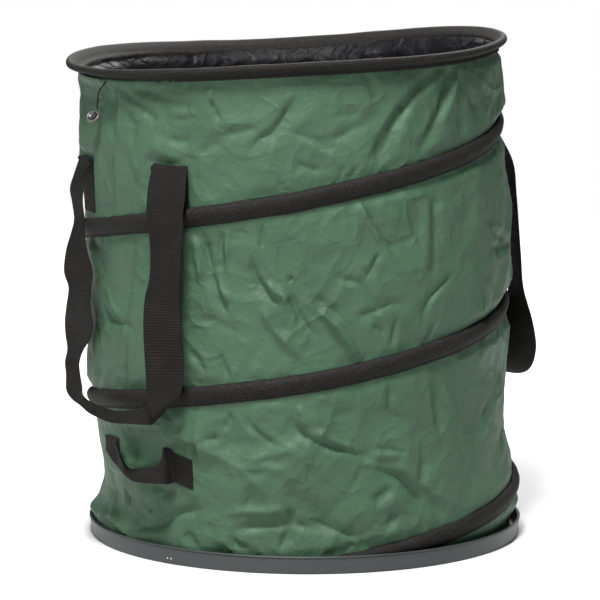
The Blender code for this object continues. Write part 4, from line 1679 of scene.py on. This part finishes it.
def strap_edges(shape: BagShape, view: PhotoView, stops: Sequence[Stop], rows: int) -> tuple[Array, Array]:
    """The two edges of a strap that the photograph shows.

    Args:
        shape: the bag.
        view: the photograph's camera.
        stops: places along the strap.
        rows: how many faces it has along it.

    Returns:
        Points of the first edge and of the second.
    """
    table = smooth_curve([(*s.one, s.one_off, *s.other, s.other_off) for s in stops], rows + 1)
    edges = []
    for first in (0, 3):
        off = MM * table[:, first + 2]
        where = view.on_bag(shape, table[:, first:first + 2], off)
        edges.append(shape.point(where[:, 0], where[:, 1], shape.radius + off))
    return edges[0], edges[1]


@dataclass
class CarryHandle:
    """One carry handle: two sewn ends and the loop that hangs from their folds.

    Attributes:
        shape: the bag.
        side: left or right.
        middle: azimuth between its two ends.
        bow: how far the loop stands off the cloth.
        end_names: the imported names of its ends.
        spread: degrees between the ends.
        width: of the webbing.
        thickness: of the webbing.
        fold_height: where the strap folds over its own end.
        fold_radius: of that fold.
        drop: from the fold to the bottom of the loop.
        corner: share of the drop in which the loop turns its corners.
        twist: degrees that its bottom is turned on its edge.
        bow_shares: how far down the loop it has which share of its bow.
    """

    shape: BagShape
    side: str
    middle: float
    bow: float
    end_names: tuple[str, str]
    spread: float = 40.0
    width: float = 0.050
    thickness: float = 0.0018
    fold_height: float = 0.503
    fold_radius: float = 0.0030
    drop: float = 0.321
    corner: float = 0.24
    twist: float = 70.0
    bow_shares: tuple[Pair, ...] = (
        (0.0, 0.35), (0.06, 0.62), (0.16, 0.80), (0.35, 0.88), (0.60, 0.98), (1.0, 1.0))

    def ends(self) -> tuple[float, float]:
        """Azimuths of the two ends, the one nearer the front of its side first."""
        return self.middle + self.spread / 2, self.middle - self.spread / 2

    def build_end(self, name: str, azimuth: float, finish: Material, collapse: Collapse) -> None:
        """Make and dress one sewn end, flat on the cloth."""
        shape = self.shape
        box_low, box_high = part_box(f"{self.side}_handle_end_{name}")
        low = self.fold_height - (box_high.z - box_low.z) + 0.001
        heights = np.linspace(low, self.fold_height - shape.gap, 25)
        turn = math.degrees(self.width / 2 / shape.radius)
        off = shape.radius + shape.gap + self.thickness / 2
        one = shape.point(azimuth - turn, heights, off)
        other = shape.point(azimuth + turn, heights, off)
        sewn = Ribbon(f"{self.side}_sewn_end_{name}", self.thickness, 24, crown=0.0010)
        piece = sewn.build(one, other)
        dress(piece, finish, f"{self.side}_handle_mount")
        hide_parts(f"{self.side}_handle_end_{name}")
        place = shape.vector(azimuth, self.fold_height, off)
        collapse.flatten(piece, place)

    def build_fold(self, name: str, azimuth: float, finish: Material) -> None:
        """Make the fold between a sewn end and the loop, and give it its finish."""
        shape = self.shape
        middle = shape.radius + shape.gap + self.thickness / 2 + self.fold_radius
        turns = np.linspace(math.pi + 0.35, -0.45, 25)
        turn = math.degrees(self.width / 2 / shape.radius)
        heights = self.fold_height + self.fold_radius * np.sin(turns)
        radius = middle + self.fold_radius * np.cos(turns)
        one = shape.point(azimuth + turn, heights, radius)
        other = shape.point(azimuth - turn, heights, radius)
        ribbon = Ribbon(f"{self.side}_fold_{name}", self.thickness * 0.96, 24, crown=0.0)
        piece = ribbon.build(one, other)
        piece.data.materials.append(finish)
        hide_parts(f"{self.side}_handle_fold_{name}")
        start = shape.vector(azimuth, self.fold_height + self.fold_radius, middle)
        end = shape.vector(azimuth, self.fold_height - self.fold_radius, middle)
        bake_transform(piece)
        log.info("%s bends between its fold and its loop", piece.name)

    def loop_edges(self, rows: int) -> tuple[Array, Array]:
        """The loop's two edges, for a loop that hangs by rule."""
        shape = self.shape
        half = self.spread / 2
        corner = self.corner
        steps = 14
        stops = [(1.0, (1 - corner) * k / 6) for k in range(7)]
        for k in range(1, steps):
            turn = math.pi * k / steps
            across = math.copysign(abs(math.cos(turn))**0.6, math.cos(turn))
            stops.append((across, 1 - corner + corner * math.sin(turn)**0.6))
        stops += [(-1.0, (1 - corner) * k / 6) for k in range(6, -1, -1)]
        places, outs = [], []
        for side, down in stops:
            off = self.bow * float(np.interp(down, *np.array(self.bow_shares).T))
            if down == 0:
                off = shape.gap + self.thickness / 2 + 2 * self.fold_radius
            place, _, outwards, _ = shape.frame(
                self.middle + half * side, self.fold_height - self.drop * down, shape.radius + off)
            places.append(place)
            outs.append(outwards)
        one, other = [], []
        for k, (place, outwards) in enumerate(zip(places, outs)):
            before, after = places[max(k - 1, 0)], places[min(k + 1, len(places) - 1)]
            along = (after - before).normalized()
            twist = math.radians(self.twist) * float(smooth_step(np.array(stops[k][1]), 0.6, 0.95))
            across = outwards.cross(along).normalized() * math.cos(twist) + outwards * math.sin(twist)
            across = (across - along * across.dot(along)).normalized() * self.width / 2
            one.append(tuple(place - across))
            other.append(tuple(place + across))
        return smooth_curve(one, rows + 1), smooth_curve(other, rows + 1)

    def build(self, finish: Material, collapse: Collapse,
              edges: Optional[tuple[Array, Array]] = None, rows: int = 190) -> None:
        """Make and dress the whole handle.

        Args:
            finish: the webbing.
            collapse: how its ends flatten.
            edges: the loop's edges where the photograph shows them.
            rows: faces along the loop.
        """
        for name, azimuth in zip(self.end_names, self.ends()):
            self.build_end(name, azimuth, finish, collapse)
            self.build_fold(name, azimuth, finish)
        one, other = edges if edges is not None else self.loop_edges(rows)
        loop = Ribbon(f"{self.side}_loop", self.thickness, rows).build(one, other)
        dress(loop, finish, f"{self.side}_handle")
        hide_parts(f"{self.side}_handle_strap")


LEFT_LOOP: tuple[Stop, ...] = tuple(Stop(*row) for row in (
    # leg by the front, from its fold down to the corner
    ((186, 168.5), (152.4, 164.2), 7.2, 7.2),
    ((185, 185), (148.5, 181), 12, 13),
    ((184, 201), (146.4, 199), 15, 16),
    ((182, 216), (145.9, 216), 17, 18),
    ((182.4, 232), (148.4, 234), 18, 17),
    ((181.2, 249), (149.9, 251), 20, 16),
    ((180.4, 267), (150.2, 268), 22, 16),
    ((179.9, 284), (148.8, 283), 23, 17),
    ((179.6, 304), (144.9, 300), 24, 19),
    ((180.8, 324), (143.6, 322), 24, 22),
    ((182.4, 345), (144.2, 344), 23, 25),
    ((184, 368), (145.9, 368), 22, 28),
    ((183.2, 386), (147, 390), 22, 31),
    ((181.5, 394.5), (148.2, 403), 24, 34),
    ((178.5, 400), (151.2, 416), 25, 35),
    ((171.5, 402.5), (153.6, 425), 21.5, 31),
    ((160, 404), (146, 426), 18.5, 29),
    # bottom run, towards the left
    ((146, 408), (134, 425.2), 18, 34),
    ((131, 411.5), (122, 424.7), 18, 38),
    ((117, 412.5), (111, 423.5), 19, 42),
    ((105, 409), (100.5, 419.5), 21, 46),
    ((94.5, 404.8), (90, 414.4), 24, 48),
    ((87.5, 401), (80.5, 406.5), 26, 46),
    ((83.5, 396), (72, 400), 26, 42),
    # leg by the side, upwards
    ((82.6, 388), (67, 392), 24, 40),
    ((80.5, 376), (66.6, 376), 22, 36),
    ((79.5, 364), (65.6, 363), 22, 34),
    ((83.5, 351.5), (67.8, 350), 20, 32),
    ((90, 340), (66, 337), 18, 32),
    ((92.5, 325), (65.2, 322), 18, 32),
    ((90, 308), (66.6, 307), 18, 32),
    ((90.5, 288), (68.6, 289), 18, 32),
    ((92, 272), (64, 273), 18, 34),
    ((87, 254), (65.8, 252), 18, 32),
    ((84, 235), (70.5, 235), 18, 28),
    ((83.8, 220), (73.6, 221), 17, 26),
    ((82, 205), (71.5, 205), 14, 25),
    ((82.4, 190), (69.2, 190), 11, 24),
    ((84, 176), (73, 176), 9, 18),
    ((90.6, 163.2), (78.9, 158.6), 7.2, 7.2),
))


TIPPING_RUN: tuple[Stop, ...] = tuple(Stop(*row) for row in (
    ((172, 449.8), (178, 481.8), 2.2, 2.2),
    ((167.5, 448.4), (173.5, 484), 8.5, 9),
    ((164.2, 449.5), (169.6, 485.2), 15, 18),
    ((161.8, 461), (166.3, 485.2), 16.5, 27),
    ((157.5, 467.6), (160.5, 484.9), 15, 33),
    ((147, 469.0), (150.5, 484.2), 14, 35),
    ((137.5, 470.2), (141.0, 483.6), 13, 34),
    ((129.5, 468.8), (133.5, 482.2), 12, 30),
    ((123.5, 460.5), (128.0, 478.8), 9, 22),
    ((119.0, 450.0), (123.6, 474.0), 6, 12),
    ((115.8, 443.5), (119.6, 468.5), 2.2, 2.2),
))


@dataclass
class TippingHandle:
    """The short strap low on the left: two sewn ends and a free loop between them.

    Attributes:
        shape: the bag.
        width: of the webbing.
        height: of the strap's middle.
        thickness: of the webbing.
        rows: faces along the loop.
        spans: name and azimuths of each end, how far it slants down and how much its far edge narrows.
    """

    shape: BagShape
    width: float = 0.038
    height: float = 0.127
    thickness: float = 0.0018
    rows: int = 72
    spans: tuple[tuple[str, float, float, float, float], ...] = (
        ("left", -67.05, -58.5, 0.0080, 0.45), ("right", -38.5, -29.95, 0.0105, 0.0))

    def build(self, view: PhotoView, finish: Material, collapse: Collapse) -> None:
        """Make and dress the handle."""
        shape = self.shape
        off = shape.radius + shape.gap + self.thickness / 2
        for name, first, last, fall, narrow in self.spans:
            azimuths = np.linspace(first, last, 17)
            share = np.linspace(0, 1, 17)
            middle = self.height - fall * (share if name == "right" else share - 1)
            half = self.width / 2 * (1 - narrow * (1 - share)**1.5)
            one = shape.point(azimuths, middle + half, off)
            other = shape.point(azimuths, middle - half, off)
            ribbon = Ribbon(f"tipping_end_{name}", self.thickness, 16, crown=0.0006)
            piece = ribbon.build(other, one)
            dress(piece, finish, "tipping_handle_mount")
            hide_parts(f"tipping_handle_end_{name}")
            collapse.flatten(piece, shape.vector((first + last) / 2, self.height, off))
        one, other = strap_edges(shape, view, TIPPING_RUN, self.rows)
        run = Ribbon("tipping_loop", self.thickness, self.rows).build(one, other)
        dress(run, finish, "tipping_handle")
        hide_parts("tipping_handle_strap")


@dataclass
class Toggle:
    """The thin cord under the rim and the button on it.

    Attributes:
        shape: the bag.
        diameter: of the cord.
        button_radius: of the button.
        button_thickness: of the button.
        button_tilt: degrees that its face leans up.
        button_turn: degrees that its face is turned to the front.
        button_stand: how much further out than the cord it hangs.
        route: azimuth, height and distance off the cloth along the cord.
    """

    shape: BagShape
    diameter: float = 0.0018
    button_radius: float = 0.0085
    button_thickness: float = 0.0045
    button_tilt: float = 40.0
    button_turn: float = 46.0
    button_stand: float = 0.0060
    route: tuple[tuple[float, float, float], ...] = (
        (-57.0, 0.6107, 0.0005), (-57.1, 0.6080, 0.0007), (-57.8, 0.6040, 0.0021),
        (-58.8, 0.5990, 0.0038), (-59.6, 0.5940, 0.0043), (-59.9, 0.5890, 0.0044),
        (-60.2, 0.5835, 0.0046), (-60.4, 0.5785, 0.0047), (-60.6, 0.5735, 0.0048))

    def build(self, cord_finish: Material, button_finish: Material) -> None:
        shape = self.shape
        points = [shape.vector(a, h, shape.radius + off) for a, h, off in self.route]
        curve = bpy.data.curves.new("toggle_string", "CURVE")
        curve.dimensions = "3D"
        curve.bevel_depth = self.diameter / 2
        curve.bevel_resolution = 4
        curve.use_fill_caps = True
        line = curve.splines.new("POLY")
        fine = smooth_curve([tuple(p) for p in points], 33)
        line.points.add(len(fine) - 1)
        for point, place in zip(line.points, fine):
            point.co = (*place, 1)
        curve.materials.append(cord_finish)
        cord = bpy.data.objects.new("toggle_string", curve)
        bpy.context.collection.objects.link(cord)
        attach(cord, "rim")
        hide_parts("toggle_cord")
        button = self.build_button()
        dress(button, button_finish, "rim")
        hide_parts("toggle_button")

    def button_middle(self) -> Vector:
        """The middle of the button, which hangs at the cord's end."""
        azimuth, height, off = self.route[-1]
        end, _, outwards, up = self.shape.frame(azimuth, height, self.shape.radius + off)
        return end - up * (self.button_radius + self.shape.gap) + outwards * self.button_stand

    def build_button(self) -> Piece:
        """The button: a turned disc with a raised rim round a hollow face."""
        shape = self.shape
        azimuth, height, off = self.route[-1]
        sideways, outwards, upwards = shape.frame(azimuth, height, shape.radius + off)[1:]
        middle = self.button_middle()
        profile = [(0.0, 0.22), (0.40, 0.20), (0.58, 0.26), (0.70, 0.44), (0.80, 0.50), (0.91, 0.44),
                   (0.98, 0.22), (1.0, 0.0), (0.98, -0.22), (0.91, -0.44), (0.78, -0.50), (0.0, -0.50)]
        radius, thickness = self.button_radius, self.button_thickness
        mesh = spun_shape([(out * radius, 0.0, up * thickness) for out, up in profile], 48)
        tilt, turn = math.radians(self.button_tilt), math.radians(self.button_turn)
        level = outwards * math.cos(turn) + sideways * math.sin(turn)
        aside = sideways * math.cos(turn) - outwards * math.sin(turn)
        face = level * math.cos(tilt) + upwards * math.sin(tilt)
        rise = upwards * math.cos(tilt) - level * math.sin(tilt)
        for vert in mesh.verts:
            local = vert.co.copy()
            vert.co = middle + aside * local.x + rise * local.y + face * local.z
        data = bpy.data.meshes.new("toggle_disc")
        close_mesh(mesh, data)
        return show("toggle_disc", data, 50)


@dataclass
class Tray:
    """The hard tray under the bag, with its thin rolled lip.

    Attributes:
        radius: of its outer wall at the top.
        height: of its wall.
        wall: thickness of the wall.
        floor: thickness of the floor.
        draft: how much the wall leans out.
        foot: bevel at the foot.
        lip: height of the lip.
        overhang: how far the lip stands out.
        corner: radius of the corner round its floor.
        steps: faces round it.
    """

    radius: float = 0.280
    height: float = 0.0225
    wall: float = 0.0025
    floor: float = 0.0025
    draft: float = 0.0010
    foot: float = 0.0022
    lip: float = 0.0022
    overhang: float = 0.0010
    corner: float = 0.002
    steps: int = 360

    def profile(self) -> list[Pair]:
        """Half the tray's section, as radius and height, from its underside round to its floor."""
        foot_radius = self.radius - self.draft
        inside = self.radius - self.wall
        bottom = [(foot_radius - self.foot + self.foot * math.sin(t), self.foot - self.foot * math.cos(t))
                  for t in np.linspace(0, math.pi / 2, 6)]
        half = self.lip / 2
        middle = self.radius - self.wall / 2
        reach = self.wall / 2 + self.overhang
        lip = [(middle + reach * math.cos(t), self.height - half + half * math.sin(t))
               for t in np.linspace(-math.pi / 2 * 0.9, math.pi / 2, 8)]
        turn = self.corner
        corner = [(inside - self.draft - turn + turn * math.cos(t), self.floor + turn + turn * math.sin(t))
                  for t in np.linspace(0, -math.pi / 2, 5)]
        return [(0.0, 0.0), *bottom, (self.radius - 0.0001, self.height - self.lip * 1.1), *lip,
                (inside, self.height - 0.0004), *corner, (0.0, self.floor)]

    def build(self, finish: Material) -> None:
        """Spin the section round and dress it."""
        mesh = spun_shape([(0.0, -radius, height) for radius, height in self.profile()], self.steps)
        data = bpy.data.meshes.new("tray_shell")
        close_mesh(mesh, data)
        piece = show("tray_shell", data, 50)
        dress(piece, finish, "base")
        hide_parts("base_tray")


@dataclass
class FloorPanel:
    """The cloth floor inside the bag, slightly creased.

    Attributes:
        radius: of the panel.
        low: its underside.
        cloth: its thickness.
        rings: faces from its middle to its edge.
        steps: faces round it.
    """

    radius: float = 0.2552
    low: float = 0.0029
    cloth: float = 0.0012
    rings: int = 60
    steps: int = 160

    def build(self, finish: Material) -> Piece:
        """Make and dress the panel."""
        rows = 2 * self.rings

        def place(column: Array, row: Array) -> Array:
            """The places of the grid's points."""
            turn = math.tau * column / self.steps
            above = row <= self.rings
            share = np.where(above, row, rows - row) / self.rings
            radius = np.maximum(share, 0.002) * self.radius
            x, y = radius * np.sin(turn), -radius * np.cos(turn)
            crease = Facets(91, 0.09, 20).at(x + 1, y + 1, 2.0)
            crease += 0.5 * Facets(93, 0.04).at(x + 1, y + 1, 2.0)
            lift = self.cloth + 0.0012 + 0.0011 * np.clip(crease, -1, 2)
            z = np.where(above, self.low + lift * smooth_step(1 - share, 0.0, 0.06) + self.cloth * 0.5,
                         self.low)
            return np.stack([x, y, z], axis=-1)

        piece = grid_piece("floor_cloth_panel", self.steps, rows, place, Wrap.ROUND,
                           (math.tau * self.radius, 2 * self.radius))
        dress(piece, finish, "base")
        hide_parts("floor_panel")
        return piece


@dataclass
class Seam:
    """The wall's seam: two rows of short stitches down the cloth.

    Attributes:
        shape: the bag.
        wall: the cloth that they lie on.
        runs: the pixels that each stretch of the seam passes.
        spacing: from stitch to stitch.
        length: of one stitch.
        thread: thickness of the thread.
        rows_apart: between the two rows.
        end_gap: from the end of a run to its first stitch.
    """

    shape: BagShape
    wall: SideWall
    runs: tuple[tuple[Pixel, ...], ...] = (
        ((113.0, 92), (113.2, 120), (113.4, 150), (114.0, 180), (114.5, 214)),
        ((136, 240), (134.2, 262), (132.8, 285), (131.4, 305), (129.5, 322), (130.0, 345),
         (129.4, 370), (127.2, 393)),
    )
    spacing: float = 0.0052
    length: float = 0.0034
    thread: float = 0.0006
    rows_apart: float = 0.0040
    end_gap: float = 0.004

    def build(self, view: PhotoView, finish: Material, collapse: Collapse) -> None:
        """Make and dress all the stitches as one piece."""
        mesh = bmesh.new()
        places = []
        for run in self.runs:
            dense = smooth_curve(view.on_cloth(self.shape, run), 400)
            steps = np.linalg.norm(np.diff(dense, axis=0), axis=1)
            gone = np.concatenate([[0], np.cumsum(steps)])
            for at in np.arange(self.end_gap, gone[-1] - self.end_gap, self.spacing):
                x, y = (np.interp(at, gone, dense[:, k]) for k in range(2))
                x2, y2 = (np.interp(at + MM, gone, dense[:, k]) for k in range(2))
                way = np.array([x2 - x, y2 - y]) / math.hypot(x2 - x, y2 - y)
                for side in (-0.5, 0.5):
                    shift = np.array([-way[1], way[0]]) * side * self.rows_apart
                    places.append((x + shift[0], y + shift[1], way))
        azimuths = np.degrees(np.array([p[0] for p in places]) / self.shape.radius)
        heights = np.array([p[1] for p in places])
        reliefs = self.wall.relief(azimuths, heights)
        for (_, _, way), azimuth, height, relief in zip(places, azimuths, heights, reliefs):
            place, sideways, outwards, up = self.shape.frame(
                azimuth, height, self.shape.radius + relief + self.thread * 0.5)
            made = bmesh.ops.create_icosphere(mesh, subdivisions=1, radius=0.5)
            along = sideways * way[0] + up * way[1]
            across = outwards.cross(along)
            for vert in made["verts"]:
                c = vert.co.copy()
                vert.co = (place + along * c.x * self.length + across * c.y * self.thread
                           + outwards * c.z * self.thread)
        data = bpy.data.meshes.new("wall_seam_stitches")
        close_mesh(mesh, data)
        piece = show("wall_seam_stitches", data)
        dress(piece, finish, "base")
        collapse.flatten(piece)


@dataclass(frozen=True)
class Lamp:
    """One soft studio lamp.

    Attributes:
        name: its name.
        place: where it hangs.
        size: metres along its side.
        power: watts.
        aim: the place that it points at.
    """

    name: str
    place: tuple[float, float, float]
    size: float
    power: float
    aim: tuple[float, float, float] = (0.0, 0.0, 0.3)

    def build(self) -> None:
        """Hang the lamp, aimed at the middle of the bag."""
        data = bpy.data.lights.new(self.name, "AREA")
        data.shape = "SQUARE"
        data.size = self.size
        data.energy = self.power
        lamp = bpy.data.objects.new(self.name, data)
        lamp.location = self.place
        way = Vector(self.aim) - Vector(self.place)
        lamp.rotation_euler = way.to_track_quat("-Z", "Y").to_euler()
        bpy.context.collection.objects.link(lamp)


@dataclass
class Studio:
    """A white studio: floor, soft lamps and an even white surround.

    Attributes:
        lamps: the lamps.
        surround: strength of the even light.
        floor_colour: of the floor.
        floor_size: its radius.
        backdrop: brightness of the white backdrop.
    """

    lamps: tuple[Lamp, ...] = (
        Lamp("top_lamp", (-0.45, -1.9, 4.0), 0.8, 300.0),
        Lamp("left_lamp", (-1.8, -3.2, 2.4), 0.9, 42.0),
        Lamp("back_lamp", (0.4, 2.6, 3.0), 1.6, 190.0),
    )
    surround: float = 0.17
    floor_colour: Colour = (0.68, 0.68, 0.68)
    floor_size: float = 3.4
    backdrop: float = 1.0

    def build(self) -> None:
        """Build the floor, the lamps and the surround."""
        mesh = bmesh.new()
        bmesh.ops.create_circle(mesh, cap_ends=True, segments=128, radius=self.floor_size)
        data = bpy.data.meshes.new("studio_floor")
        mesh.to_mesh(data)
        mesh.free()
        floor = show("studio_floor", data)
        n = Nodes("studio_floor")
        data.materials.append(n.finish(Base_Color=(*self.floor_colour, 1.0), Roughness=0.9))
        for lamp in self.lamps:
            lamp.build()
        self.build_surround()
        bpy.context.scene.view_settings.view_transform = "Standard"

    def build_surround(self) -> None:
        """Close the studio with a white backdrop that gives only a weak, even light."""
        world = bpy.data.worlds.new("studio_surround")
        bpy.context.scene.world = world
        world.use_nodes = True
        nodes, links = world.node_tree.nodes, world.node_tree.links
        seen = nodes.new("ShaderNodeLightPath").outputs["Is Camera Ray"]
        strength = nodes.new("ShaderNodeMapRange")
        strength.inputs["To Min"].default_value = self.surround
        strength.inputs["To Max"].default_value = self.backdrop
        links.new(seen, strength.inputs["Value"])
        links.new(strength.outputs["Result"], nodes["Background"].inputs["Strength"])
        nodes["Background"].inputs["Color"].default_value = (1.0, 1.0, 1.0, 1.0)


def finish_kept_nodes(finishes: dict[str, Material]) -> None:
    """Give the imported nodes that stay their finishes.

    Args:
        finishes: materials by the record's slot names.
    """
    slots = {part["node"]: part["material_slot"] for part in frame["record"]["subparts"]}
    for name, node in frame["nodes"].items():
        if node.hide_render:
            continue
        node.data.materials.clear()
        node.data.materials.append(finishes[slots[name]])
        log.info("%s: packed node in %s", name, slots[name])


def main() -> None:
    """Build every sub-assembly in order."""
    logging.basicConfig(level=logging.INFO, format="%(name)s %(message)s")
    shape = BagShape(radius=-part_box("side_wall")[0].y)
    view = PhotoView()
    collapse = Collapse()
    view.make_camera()
    finishes = {
        "green_cloth": GreenCloth().material(),
        "lining_film": LiningFilm().material(),
        "black_tape": BlackTape().material(),
        "black_webbing": BlackWebbing().material(),
        "tray_plastic": TrayPlastic().material(),
    }
    for plain in (
        PlainFinish("tie_thread", (0.72, 0.72, 0.68), (0.60, 0.60, 0.56), 0.55),
        PlainFinish("floor_cloth", (0.020, 0.020, 0.021), (0.032, 0.032, 0.033), 0.55, grain=900.0),
        PlainFinish("spring_steel", (0.44, 0.44, 0.45), (0.34, 0.33, 0.32), 0.33, 1.0, grain=700.0),
        PlainFinish("cap_rubber", (0.030, 0.030, 0.030), (0.042, 0.042, 0.042), 0.7),
    ):
        finishes[plain.name] = plain.material()
    toggle = Toggle(shape)
    plastic = ButtonPlastic(tuple(toggle.button_middle()), toggle.button_radius)
    finishes["button_plastic"] = plastic.material()
    toggle.build(finishes["black_tape"], finishes["button_plastic"])
    wall = SideWall(shape, view)
    cloth = wall.build(finishes["green_cloth"], collapse)
    thread = PlainFinish("seam_thread", (0.016, 0.030, 0.020), (0.024, 0.042, 0.028), 0.7).material()
    Seam(shape, wall).build(view, thread, collapse)
    film = Lining(shape, wall).build(finishes["lining_film"], collapse)
    tape = SpiralTape(shape)
    tape.build(finishes["black_tape"], collapse)
    tape.build_wire(finishes["spring_steel"], finishes["cap_rubber"], collapse)
    Rim(shape, wall).build(finishes["black_tape"])
    rows = 230  # faces along the left loop
    left_edges = strap_edges(shape, view, LEFT_LOOP, rows)
    left = CarryHandle(shape, "left", -52.8, 0.0320, ("front", "side"))
    left.build(finishes["black_webbing"], collapse, left_edges, rows)
    right = CarryHandle(shape, "right", 127.2, 0.0370, ("back", "side"))
    right.build(finishes["black_webbing"], collapse)
    TippingHandle(shape).build(view, finishes["black_webbing"], collapse)
    Tray().build(finishes["tray_plastic"])
    panel = FloorPanel().build(finishes["floor_cloth"])
    finish_kept_nodes(finishes)
    Studio().build()


if __name__ == "__main__":
    main()
